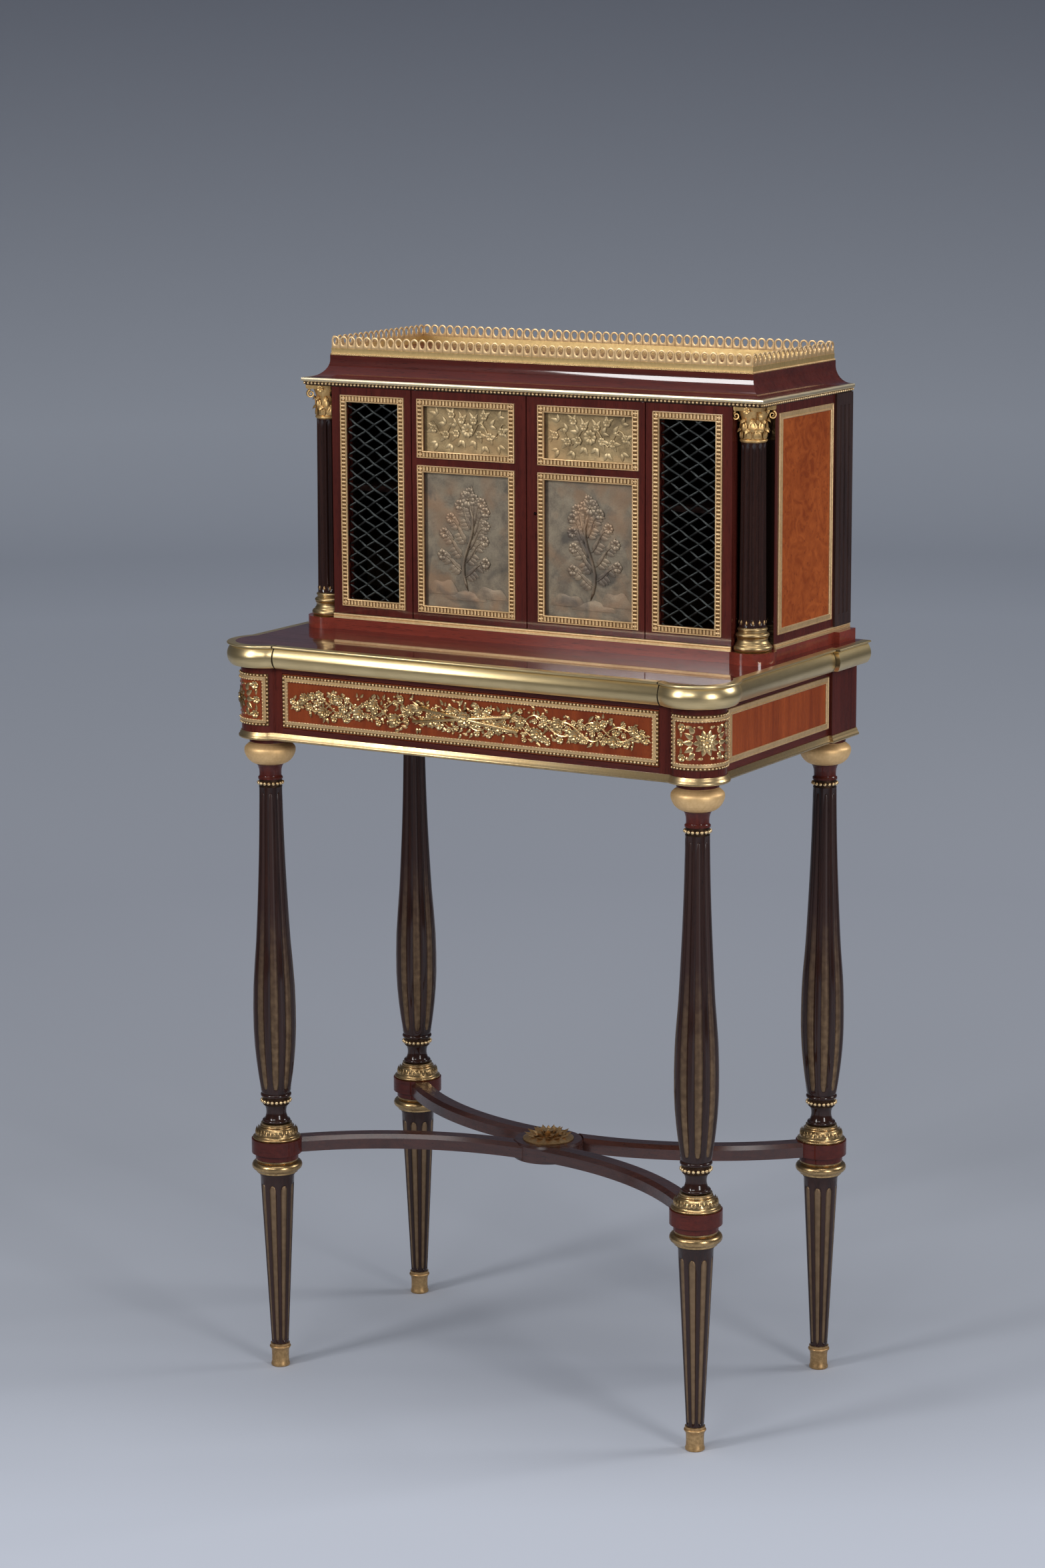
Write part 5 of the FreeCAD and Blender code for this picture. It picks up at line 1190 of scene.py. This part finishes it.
DOOR_FRONT = -0.0315
STRIP_LOW = 0.792
CABINET_FLOOR = 0.7972
NOTCH_X = 0.2335
NOTCH_Y = -0.0003
strip = [(0, STRIP_LOW), (0.0019, STRIP_LOW + 0.0001), (0.0019, STRIP_LOW + 0.0022)]
strip += [(0.0012, STRIP_LOW + 0.0027)]
strip += arc(0.0010, CABINET_FLOOR - 0.0012, 0.0009, -70, 90, 5) + [(0, CABINET_FLOOR)]
strips = [run_moulding([(-NOTCH_X, DOOR_FRONT), (NOTCH_X, DOOR_FRONT)], strip)]
strips.append(run_moulding([(CABINET_SIDE, NOTCH_Y), (CABINET_SIDE, BACK_PLANE)], strip))
strips.append(run_moulding([(-CABINET_SIDE, BACK_PLANE), (-CABINET_SIDE, NOTCH_Y)], strip))
fit(shape("foot_strip_gilt", strips, 40), pale_gilt, "gilt_bronze", "root", "foot_strip")


# Columns: dark shafts with twelve flutes that stand in the notched front corners of the cabinet, on
# turned gilt bases and under leafy gilt capitals, each flat where it meets the corner post.

COLUMN_X = 0.2485
COLUMN_Y = -0.0153
SHAFT_LOW = 0.816
SHAFT_HIGH = 0.9985
SHAFT_FLUTES_LOW, SHAFT_FLUTES_HIGH = 0.8185, 0.9965
CABINET_TOP = 1.0335
MOUNT_INNER = 0.2348
COLUMN_FLUTES = 12


def in_corner(parts, way):
    """Parts of a column mount, cut flat at the corner post and set on the left or right."""
    return [
        ([(way * max(x, MOUNT_INNER), min(y, NOTCH_Y), z) for x, y, z in points], faces)
        for points, faces in parts
    ]


base = [(0, STRIP_LOW), (0.0196, STRIP_LOW)] + arc(0.0168, 0.7956, 0.0032, -80, 80, 8)
base += [(0.0170, 0.7992), (0.0170, 0.8000)]
base += through([(0.0166, 0.8002), (0.0152, 0.8030), (0.0158, 0.8058)], 5)
base += [(0.0164, 0.8062)] + arc(0.0150, 0.8084, 0.0020, -75, 75, 6)
base += [(0.0150, 0.8106), (0.0142, 0.8112), (0.0144, 0.8130)]
base += arc(0.0140, 0.8142, 0.0012, -60, 90, 5) + [(0.0140, SHAFT_LOW), (0, SHAFT_LOW)]
bases = []
for way in (-1, 1):
    bases += in_corner([turned(base, COLUMN_X, COLUMN_Y)], way)
base_brass = bronze("column_base_brass", (0.60, 0.43, 0.21), (0.36, 0.25, 0.12), 0.32, 260.0, 0.000003)
fit(shape("column_bases_cast", bases), base_brass, "gilt_bronze", "root", "column_bases")


def shaft_radius(z):
    return 0.0136 - 0.0012 * (z - SHAFT_LOW) / (SHAFT_HIGH - SHAFT_LOW)


shaft_flutes = flute_depth(shaft_radius, SHAFT_FLUTES_LOW, SHAFT_FLUTES_HIGH, 0, COLUMN_FLUTES, 0.34, 0.8)
shaft = [(0, SHAFT_LOW), (shaft_radius(SHAFT_LOW), SHAFT_LOW)]
shaft += fluted_stretch(shaft_radius, SHAFT_FLUTES_LOW + 0.0001, SHAFT_FLUTES_HIGH - 0.0001, 20)
shaft += [(shaft_radius(SHAFT_HIGH), SHAFT_HIGH), (0, SHAFT_HIGH)]
shafts = [turned(shaft, way * COLUMN_X, COLUMN_Y, 144, shaft_flutes) for way in (-1, 1)]
fit(shape("shafts_fluted", shafts, 50), dark_upright, "dark_mahogany", "root", "column_shafts")
DROP_TALL = 0.0058
swelling = [(0.0012 * math.sin(math.pi * t), DROP_TALL * t) for t in (0.15, 0.3, 0.5, 0.7, 0.88)]
drop = turned([(0, 0), *swelling, (0, DROP_TALL)], around=8)
reach = shaft_radius(SHAFT_LOW) - 0.0008
drops = []
for way in (-1, 1):
    for k in range(COLUMN_FLUTES):
        at = out_from((way * COLUMN_X, COLUMN_Y), reach, 360 * k / COLUMN_FLUTES)
        drops.append(moved(drop, *at, 0.8178))
fit(shape("flute_drops", drops, 60), gilt, "gilt_bronze")


# Capitals: a gilt bell wrapped in two rows of acanthus, with a volute at each corner under a
# hollow-sided abacus and a small flower in the middle of each side.


def volute(size):
    """A tapering scroll in the plane of X and Z, its eye at the origin."""
    turns, wire, steps = 1.6, 0.0013, 24
    line = []
    for i in range(steps + 1):
        t = i / steps
        angle = math.radians(100) - t * turns * math.tau
        reach = size * (1 - 0.82 * t)
        line.append(Vector((reach * math.cos(angle), 0, reach * math.sin(angle))))
    flat = Vector((0, 1, 0))
    rings = []
    for i, here in enumerate(line):
        along = (line[min(i + 1, steps)] - line[max(i - 1, 0)]).normalized()
        side = along.cross(flat)
        radius = 0 if i in (0, steps) else wire * (1 - 0.55 * i / steps)
        rings.append([
            here + side * (radius * math.cos(a)) + flat * (radius * 1.9 * math.sin(a))
            for a in (math.radians(d) for d in range(0, 360, 60))
        ])
    return skin(rings)


ABACUS_LOW = 1.0292
bell = [(0, SHAFT_HIGH), (0.0128, SHAFT_HIGH)] + arc(0.0126, SHAFT_HIGH + 0.0016, 0.0012, -80, 80, 6)
bell += [(0.0118, SHAFT_HIGH + 0.0032)]
bell += through([(0.0116, 1.0030), (0.0114, 1.0120), (0.0122, 1.0200), (0.0146, 1.0270),
                 (0.0152, ABACUS_LOW)], 4)
bell += [(0, ABACUS_LOW)]
MIDDLE = (0, 0)
capital = [turned(bell, 0, 0, 32)]
for low, tall, reach, first_turn in ((1.0006, 0.0125, 0.0124, 0), (1.0075, 0.0150, 0.0122, 22.5)):
    lobe = leaf(tall * 0.55, 0.0040, 0.3, 0.1, 0.25, 4)
    frond = [
        moved(leaf(tall, 0.0082, 0.25, 0.0, 0.25), turn=(0, -90, 0)),
        moved(leaf(0.0052, 0.0070, 0.3, -0.35, 0.3, 4), -0.0002, 0, tall * 0.86, (0, 18, 180)),
        moved(lobe, 0, -0.0012, tall * 0.28, (-26, -90, 0)),
        moved(lobe, 0, 0.0012, tall * 0.28, (26, -90, 0)),
    ]
    for k in range(8):
        angle = first_turn + 45 * k
        for part in frond:
            outward = moved(part, turn=(0, 0, 180))
            capital.append(moved(outward, *out_from(MIDDLE, reach, angle), low, (0, 0, angle)))
for k in range(4):
    side = 90 * k
    corner = 45 + side
    capital.append(moved(volute(0.0042), *out_from(MIDDLE, 0.0186, corner), 1.0242, (0, 0, corner)))
    stem = leaf(0.0140, 0.0040, 0.3, 0.25)
    capital.append(moved(stem, *out_from(MIDDLE, 0.0112, corner), 1.0150, (0, -48, corner)))
    for part in blossom(0.0036, 6):
        upright_part = moved(part, turn=(0, 90, 0))
        capital.append(moved(upright_part, *out_from(MIDDLE, 0.0150, side), 1.0296, (0, 0, side)))
PLATE_HALF = 0.0168
plate = []
for k in range(4):
    c, s = math.cos(math.radians(90 * k)), math.sin(math.radians(90 * k))
    for i in range(8):
        t = i / 8 * 2 - 1
        a, b = PLATE_HALF * (1 - 0.16 * (1 - t * t)), PLATE_HALF * t
        plate.append((a * c - b * s, a * s + b * c))
levels = [(0, ABACUS_LOW), (0.95, ABACUS_LOW), (1, ABACUS_LOW + 0.0016)]
levels += [(1, CABINET_TOP), (0, CABINET_TOP)]
capital.append(skin([[(x * share, y * share, z) for x, y in plate] for share, z in levels]))
capitals = []
for way in (-1, 1):
    capitals += in_corner([moved(part, COLUMN_X, COLUMN_Y, 0) for part in capital], way)
capital_gilt = bronze("capital_gilt", (0.82, 0.54, 0.23), (0.46, 0.28, 0.10), 0.36, metal=0.82)
fit(shape("capitals_cast", capitals, 50), capital_gilt, "gilt_bronze", "root", "column_capitals")


# Pilasters: strips of dark mahogany, fluted on a plane and glued upright at the back of each side
# of the cabinet.

strip_pale, strip_deep = (0.066, 0.033, 0.026), (0.022, 0.011, 0.009)
dark_strip = wood("dark_mahogany_strips", strip_pale, strip_deep, "Z", gloss=0.26)
coat(dark_strip, "pilasters")


# Doors: gilt frames pinned round every opening of the four doors, ribbed like a ladder between an
# outer fillet and an inner bead, and mitred at the corners.

WINDOW_LOW = 0.8116
WINDOW_HIGH = 1.0191
LAP = 0.006
RIB_PITCH = 0.0039
RIB_LINE = 0.0035
RIB_HALF = 0.00132
door_fillet = [(0, 0), (0, 0.0016), (0.0003, 0.0019), (0.0008, 0.0019), (0.0011, 0.0014), (0.0011, 0)]
door_inner = [(0.0060, 0), (0.0060, 0.0013), (0.0064, 0.0017)]
door_inner += [(0.0070, 0.0015), (0.0074, 0.0007), (0.0074, 0)]
door_ground = [(0.0011, 0), (0.0011, 0.0006), (0.0060, 0.0006), (0.0060, 0)]
rib_rings = []
for a, size in ((-0.0024, 0.6), (-0.0020, 1.0), (0.0020, 1.0), (0.0024, 0.6)):
    rib_rings.append([(RIB_HALF * size * math.cos(u), a, 0.0005 + 0.0013 * size * math.sin(u))
                      for u in (math.radians(d) for d in (0, 45, 90, 135, 180))])
rib_rings = [[rib_rings[0][2]] * 5] + rib_rings + [[rib_rings[-1][2]] * 5]
rib = pattern("frame_rib", [skin(rib_rings)], 50)


def ribbed_frame(name, openings, body, *stands_for):
    """The gilt frames of one door, from the openings' (left, right, low, high)."""
    bands, grounds, runs = [], [], []
    for x0, x1, z0, z1 in openings:
        wide, tall = x1 - x0 + 2 * LAP, z1 - z0 + 2 * LAP
        put = on_front((x0 + x1) / 2, DOOR_FRONT, (z0 + z1) / 2)
        bands += [band(wide, tall, profile, put) for profile in (door_fillet, door_inner)]
        grounds.append(band(wide, tall, door_ground, put))
        a, b = wide / 2 - RIB_LINE, tall / 2 - RIB_LINE
        bars = (((-a, -b), (a, -b)), ((-a, b), (a, b)), ((-a, -b), (-a, b)), ((a, -b), (a, b)))
        runs += [([put(*first, 0), put(*last, 0)], False) for first, last in bars]
    fit(shape(name, bands, 30), pale_gilt, "gilt_bronze", body, *stands_for)
    # The ground between the ribs takes the painted shade.
    fit(shape(name + "_ground", grounds, 30), shadow_gilt, "gilt_bronze", body)
    row(name + "_ribs", rib, RIB_PITCH, runs, pale_gilt, FORWARD, body=body)


# Wire doors: a lattice of brass wires, long gone grey, woven so that each passes over one and under
# the next, and fixed behind each door's opening.

wire_pale, wire_deep = (0.064, 0.070, 0.068), (0.038, 0.042, 0.041)
wire_finish = bronze("lattice_wire", wire_pale, wire_deep, 0.40, 200.0, 0.00002)
WIRE_X0, WIRE_X1 = 0.1514, 0.2166
LATTICE_PLANE = -0.0281
PITCH_X, PITCH_Z = 0.0217, 0.0133
WIRE = 0.00118
SHORTEST_WIRE = 0.002


def lattice(x0, x1, z0, z1):
    """Two sets of slanting wires across an opening, waved where they cross."""
    wires = []
    slope = PITCH_Z / PITCH_X
    middle_x, middle_z = (x0 + x1) / 2, (z0 + z1) / 2
    half_x, half_z = (x1 - x0) / 2, (z1 - z0) / 2
    count = int((half_z + half_x * slope) / PITCH_Z) + 1
    for hand in (-1, 1):
        for k in range(-count, count + 1):
            line = []
            start_at = max(-half_x, (-half_z - k * PITCH_Z) / slope)
            end_at = min(half_x, (half_z - k * PITCH_Z) / slope)
            if end_at - start_at < SHORTEST_WIRE:
                continue
            steps = max(2, round((end_at - start_at) / PITCH_X * 8))
            for i in range(steps + 1):
                a = start_at + (end_at - start_at) * i / steps
                wave = WIRE * 0.95 * hand * math.cos(math.tau * (a / PITCH_X + k / 2))
                line.append((middle_x + hand * a, middle_z + k * PITCH_Z + slope * a, wave))
            wires.append(stalk(line, WIRE, 6))
    return [([(x, LATTICE_PLANE - lift, z) for x, z, lift in points], faces) for points, faces in wires]


for side, way in (("left", -1), ("right", 1)):
    x0, x1 = sorted((way * WIRE_X0, way * WIRE_X1))
    body = f"{side}_wire_door"
    openings = [(x0, x1, WINDOW_LOW, WINDOW_HIGH)]
    ribbed_frame(f"{side}_wire_door_gilt", openings, body, f"{side}_wire_door_grille")
    wires = shape(f"{side}_lattice", lattice(x0, x1, WINDOW_LOW, WINDOW_HIGH), 60)
    fit(wires, wire_finish, "polished_brass", body)


# Panel doors: two chased plaques let into each, a low one over a tall one. The low one has leaves
# and flowers spread over an olive gilt ground; the tall silvered one a flowering tree among rocks.

PANEL_X0, PANEL_X1 = 0.0197, 0.1233
UPPER_LOW = 0.9708
LOWER_HIGH = 0.9513
PLAQUE_FACE = -0.0275


def plaque_metal(name, bright, dull, stain, tarnish):
    """Old silvered metal: cloudy, with warm rubbed patches, dark tarnish and a fine tooled grain."""
    finish, start, place = new_finish(name)
    cloud = place.noise(70.0, 6.0, 0.8)
    rubbed = place.noise(26.0, 4.0, 0.5)
    dark = place.noise(21.0, 5.0, 1.2)
    grain = place.noise(650.0)
    colour = (cloud * 0.7 + grain * 0.3).between(0.36, 0.64).blend(bright, dull)
    colour = (rubbed.between(0.50, 0.66) * 0.7).blend(colour, stain)
    colour = (dark.between(0.58, 0.70) * 0.7).blend(colour, tarnish)
    surface(start, colour, cloud * 0.2 + 0.36, grain * 0.6 + cloud * 0.4, 0.00010, Metallic=0.6)
    return finish


silvered = plaque_metal(
    "silvered_plaque",
    (0.33, 0.275, 0.195), (0.19, 0.155, 0.115), (0.33, 0.205, 0.12), (0.085, 0.078, 0.07),
)
olive_gilt = plaque_metal(
    "olive_gilt_plaque",
    (0.46, 0.33, 0.165), (0.22, 0.155, 0.075), (0.50, 0.32, 0.15), (0.12, 0.085, 0.045),
)
rose_silver = plaque_metal(
    "plaque_relief",
    (0.34, 0.265, 0.18), (0.21, 0.16, 0.115), (0.36, 0.225, 0.135), (0.10, 0.085, 0.075),
)
# A paler copy of the olive gilt for the low relief: painted highlight on its raised leaves and flowers.
relief_painted_highlight = plaque_metal(
    "low_plaque_relief",
    (0.62, 0.47, 0.26), (0.36, 0.26, 0.13), (0.52, 0.35, 0.17), (0.2, 0.14, 0.07),
)
PLAQUE_THICK = 0.0022


def ground(x0, x1, z0, z1):
    """A plaque: a thin sheet, very slightly hollow and uneven from its chasing."""
    steps = 30
    lines = []
    for i in range(steps + 1):
        z = z0 + (z1 - z0) * i / steps
        line = []
        for k in range(steps + 1):
            x = x0 + (x1 - x0) * k / steps
            rim = min(1, 8 * min(i, k, steps - i, steps - k) / steps)
            swell = math.sin(x * 190 + z * 60) * math.sin(z * 150 - x * 40)
            line.append((x, PLAQUE_FACE + rim * (0.00035 + 0.00022 * swell), z))
        lines.append(line)
    front, faces = skin(lines, around=False)
    wide = steps + 1
    border = list(range(wide)) + [i * wide + steps for i in range(1, wide)]
    border += [steps * wide + i for i in range(steps - 1, -1, -1)]
    border += [i * wide for i in range(steps - 1, 0, -1)]
    back = [(front[i][0], PLAQUE_FACE + PLAQUE_THICK, front[i][2]) for i in border]
    first = len(front)
    count = len(border)
    for i in range(count):
        j = (i + 1) % count
        faces.append((border[i], border[j], first + j, first + i))
    faces.append(tuple(range(first, first + count)))
    return front + back, faces


def sprig(put, a, b, length, turn, leaves, size, petals):
    """A curving twig with leaves on both sides and a flower at its tip."""
    line = []
    for i in range(9):
        t = i / 8
        bend = math.radians(turn + 26 * math.sin(t * 2.2) * (1 if turn % 180 < 90 else -1))
        line.append((a + length * t * math.cos(bend), b + length * t * math.sin(bend), 0.0004))
    parts = laid([stalk(line, 0.00055 * size)], put, 0, 0, 0)
    blade = [leaf(0.0080, 0.0042, 0.09, 0.02, 0.1, 5)]
    for i in range(1, leaves + 1):
        x, y, _ = line[min(8, round(8 * i / (leaves + 1)))]
        for hand in (-1, 1):
            parts += laid(blade, put, x, y, 0.0001, size, turn + hand * 42)
    x, y, _ = line[-1]
    parts += laid(blossom(0.0048, petals, 0.08, 0.18), put, x, y, 0.0002, size)
    return parts


leaf_rings = ((0.013, (-60, -20, 20, 60)), (0.024, (-44, -15, 15, 44)), (0.036, (-26, 0, 26)))
long_leaf = [leaf(0.0098, 0.0046, 0.16, 0.02, 0.1, 5)]
short_leaf = [leaf(0.0088, 0.0040, 0.16, 0.02, 0.1, 5)]
rocks = ((-0.026, -0.058, 0.020, 0.012), (0.004, -0.061, 0.026, 0.009), (0.030, -0.056, 0.018, 0.015))
TRUNK_LOW, TRUNK_STEP, TRUNK_WAVE = -0.052, 0.0092, 0.62
branches = (
    (-0.034, 10, 0.030), (-0.020, 24, 0.034), (-0.006, 30, 0.033),
    (0.008, 38, 0.030), (0.020, 46, 0.025), (0.030, 60, 0.017),
)
for side, way in (("left", -1), ("right", 1)):
    x0, x1 = sorted((way * PANEL_X0, way * PANEL_X1))
    body = f"{side}_panel_door"
    openings = [(x0, x1, UPPER_LOW, WINDOW_HIGH), (x0, x1, WINDOW_LOW, LOWER_HIGH)]
    ribbed_frame(f"{side}_panel_door_gilt", openings, body, f"{side}_panel_door_mouldings")
    tall = shape(f"{side}_tall_plaque", [ground(x0, x1, WINDOW_LOW, LOWER_HIGH)], 30)
    fit(tall, silvered, "silvered_plaque", body, f"{side}_panel_door_plaques")
    low = shape(f"{side}_low_plaque", [ground(x0, x1, UPPER_LOW, WINDOW_HIGH)], 30)
    fit(low, olive_gilt, "silvered_plaque", body)

    middle = (x0 + x1) / 2
    put = on_front(middle, PLAQUE_FACE, (UPPER_LOW + WINDOW_HIGH) / 2)
    relief = laid(blossom(0.0078, 9, 0.10), put, 0, 0, 0.0003)
    for hand in (-1, 1):
        for reach, angles in leaf_rings:
            for k, angle in enumerate(angles):
                a = hand * reach * math.cos(math.radians(angle)) * 1.12
                b = reach * math.sin(math.radians(angle)) * 0.9
                away = angle * 1.6 if hand > 0 else 180 - angle * 1.6
                relief += laid(long_leaf, put, a, b, 0.0002, 1, away + 24)
                relief += laid(short_leaf, put, a, b, 0.0002, 1, away - 40)
                if (k + way + hand) % 2:
                    relief += laid(blossom(0.0046, 6, 0.10), put, a, b, 0.0004)
        reaches = [0.004 + 0.0042 * i for i in range(11)]
        vine = [(hand * a, 0.0085 * math.sin(i * 0.95 + way), 0.0005) for i, a in enumerate(reaches)]
        relief += laid([stalk(vine, 0.0007)], put, 0, 0, 0)
    fit(shape(f"{side}_low_plaque_relief", relief, 60), relief_painted_highlight, "silvered_plaque", body)

    put = on_front(middle, PLAQUE_FACE, (WINDOW_LOW + LOWER_HIGH) / 2)
    bend = way * 0.006
    relief = []
    for a, b, wide, tall in rocks:
        sweep = [math.radians(d) for d in range(0, 181, 12)]
        uneven = [1 + 0.16 * math.sin(5 * u + a * 90) for u in sweep]
        mound = [(wide * math.cos(u), tall * math.sin(u) * more) for u, more in zip(sweep, uneven)]
        relief.append(skin([
            [put(way * a + x * s, b + z * s, 0.0007 * (1 - s * s) + 0.0001) for x, z in mound]
            for s in (1.0, 0.8, 0.55, 0.3, 0.02)
        ]))
    trunk = [(bend * math.sin(i * TRUNK_WAVE), TRUNK_LOW + TRUNK_STEP * i, 0.0004) for i in range(11)]
    relief += laid([stalk(trunk, 0.0016, 6)], put, 0, 0, 0)
    for i, (b, turn, length) in enumerate(branches):
        root_a = bend * math.sin((b - TRUNK_LOW) / TRUNK_STEP * TRUNK_WAVE)
        for hand in (-1, 1):
            away = turn if hand > 0 else 180 - turn
            relief += sprig(put, root_a, b + hand * way * 0.003, length, away, 6, 1.25, 6 + i % 3)
    relief += laid(blossom(0.0085, 9, 0.10), put, 0, 0.043, 0.0003)
    fit(shape(f"{side}_tall_plaque_relief", relief, 60), rose_silver, "silvered_plaque", body)


# Cornice moulding: a bright gilt fillet over a string of tiny beads in a bed painted dark as shade,
# pinned round the front and the sides and mitred at the corners.

COVE_LOW = 1.0415
BEAD_BED_TOP = 1.0370
crown = [(0, CABINET_TOP), (0.0006, CABINET_TOP), (0.0008, 1.0344), (0.0012, 1.0350), (0.0012, 1.0364)]
crown += [(0.0024, BEAD_BED_TOP), (0.0030, 1.0376), (0.0038, 1.0380), (0.0040, 1.0386)]
crown += [(0.0040, 1.0408), (0.0036, 1.0414), (0, COVE_LOW)]


def three_sided(half, front, back):
    """A plan from the back left corner round by the front to the back right one."""
    return [(-half, back), (-half, front), (half, front), (half, back)]


cornice_plan = three_sided(CABINET_SIDE, DOOR_FRONT, BACK_PLANE)
cornice_brass, start, place = new_finish("cornice_brass")
height = place.xyz()[2]
cloud = place.noise(30.0, 3.0)
# Painted shade: the bed below the fillet, behind the beads, is painted near black.
bed_painted_shade = 1 - height.between(BEAD_BED_TOP, BEAD_BED_TOP + 0.0003)
colour = cloud.between(0.35, 0.65).blend((0.84, 0.72, 0.50), (0.70, 0.58, 0.38))
colour = bed_painted_shade.blend(colour, (0.055, 0.034, 0.024))
surface(start, colour, cloud * 0.06 + 0.30 + bed_painted_shade * 0.2, Metallic=0.85)
fillet = shape("cornice_fillet", [run_moulding(cornice_plan, crown)], 35)
fit(fillet, cornice_brass, "gilt_bronze", "root", "cornice_moulding")
BEADS_OUT = 0.0014
bead_line = three_sided(CABINET_SIDE + BEADS_OUT, DOOR_FRONT - BEADS_OUT, BACK_PLANE)


def straight_runs(plan, z):
    """A path along each side of a plan at a height, for a row of units."""
    return [([(*a, z), (*b, z)], False) for a, b in zip(plan, plan[1:])]


cornice_bead = pattern("cornice_bead", [bead(0.0015, 0.9)])
row("cornice_beads", cornice_bead, 0.0044, straight_runs(bead_line, 1.03555), bead_gilt)


# Gallery: a cast gilt railing round the tray, with a beaded foot, a plain band and a row of arches
# that touch, each pierced by a drop-shaped hole. It is pinned down to the tray's rim.

GALLERY_X = 0.2459
GALLERY_FRONT = -0.0127
GALLERY_REAR = 0.1674
GALLERY_LOW = 1.0640
GALLERY_FOOT = 0.007
GALLERY_HIGH = 1.0836
THICK = 0.0016
ARCH_PITCH = 0.0096
wall_profile = [(0, 0), (0.0002, 0), (0.0002, 0.0016), (-0.0002, 0.0019), (-0.0002, 0.0062)]
wall_profile += [(0, GALLERY_FOOT), (-THICK, GALLERY_FOOT), (-THICK, 0)]
wall_profile = [(out, GALLERY_LOW + up) for out, up in wall_profile]
gallery_plan = three_sided(GALLERY_X, GALLERY_FRONT, GALLERY_REAR)
wall = run_moulding(gallery_plan, wall_profile, True)
gallery_gilt = bronze("gallery_gilt", (0.86, 0.61, 0.27), (0.60, 0.41, 0.17), 0.34, 300.0, 0.00003, 0.8)
fit(shape("gallery_foot", [wall], 30), gallery_gilt, "gilt_bronze", "root", "gallery")

ARCH_RISE = GALLERY_HIGH - GALLERY_LOW - GALLERY_FOOT
CLOSE_PITCH = ARCH_PITCH * 0.985
HALF_ARCH = CLOSE_PITCH / 2
HOLE = 0.0029
RIM, SWELL = 0.0004, 0.00075
hole_middle = ARCH_RISE - 0.0020 - HOLE
arch_middle = ARCH_RISE - HALF_ARCH
round_top = [math.radians(a) for a in range(0, 181, 30)]
outline = [(HALF_ARCH, 0), (HALF_ARCH, arch_middle / 2)]
outline += [(HALF_ARCH * math.cos(a), arch_middle + HALF_ARCH * math.sin(a)) for a in round_top]
outline += [(-HALF_ARCH, arch_middle / 2), (-HALF_ARCH, 0), (0, 0)]
hole = [(0.0015, 0.0036), (0.0025, 0.0058)]
hole += [(HOLE * math.cos(a), hole_middle + HOLE * math.sin(a)) for a in round_top]
hole += [(-0.0025, 0.0058), (-0.0015, 0.0036), (0, 0.0029)]
arch_rings = []
for (a0, b0), (a1, b1) in zip(outline, hole):
    a, b = (a0 + a1) / 2, (b0 + b1) / 2
    arch_rings.append([
        (a0, -RIM, b0), (a, -SWELL, b), (a1, -RIM, b1), (a1, RIM, b1), (a, SWELL, b), (a0, RIM, b0),
    ])
arch = pattern("gallery_arch", [skin(arch_rings, along=True)])
inset = 0.0008
x, y0, y1 = GALLERY_X - inset, GALLERY_FRONT + inset, GALLERY_REAR - inset
z = GALLERY_LOW + GALLERY_FOOT


def evenly(start_at, end_at):
    """A run that starts and ends half a pitch in, so that whole arches fill it."""
    a, b = Vector(start_at), Vector(end_at)
    count = round((b - a).length / ARCH_PITCH)
    half = (b - a) / count / 2
    return [a + half, b - half], False


runs = [evenly((-x, y0, z), (x, y0, z)), evenly((x, y1, z), (-x, y1, z))]
runs += [evenly((x, y0, z), (x, y1, z)), evenly((-x, y1, z), (-x, y0, z))]
row("gallery_arches", arch, CLOSE_PITCH, runs, pale_gilt)
GALLERY_BEAD = 0.0009
gallery_bead = pattern("gallery_bead", [bead(GALLERY_BEAD)])
runs = straight_runs(gallery_plan, GALLERY_LOW + GALLERY_BEAD)
row("gallery_foot_beads", gallery_bead, 0.0022, runs, pale_gilt)


# Close: the patterns that the rows repeated are taken away.

for unit in patterns:
    bpy.data.objects.remove(unit)
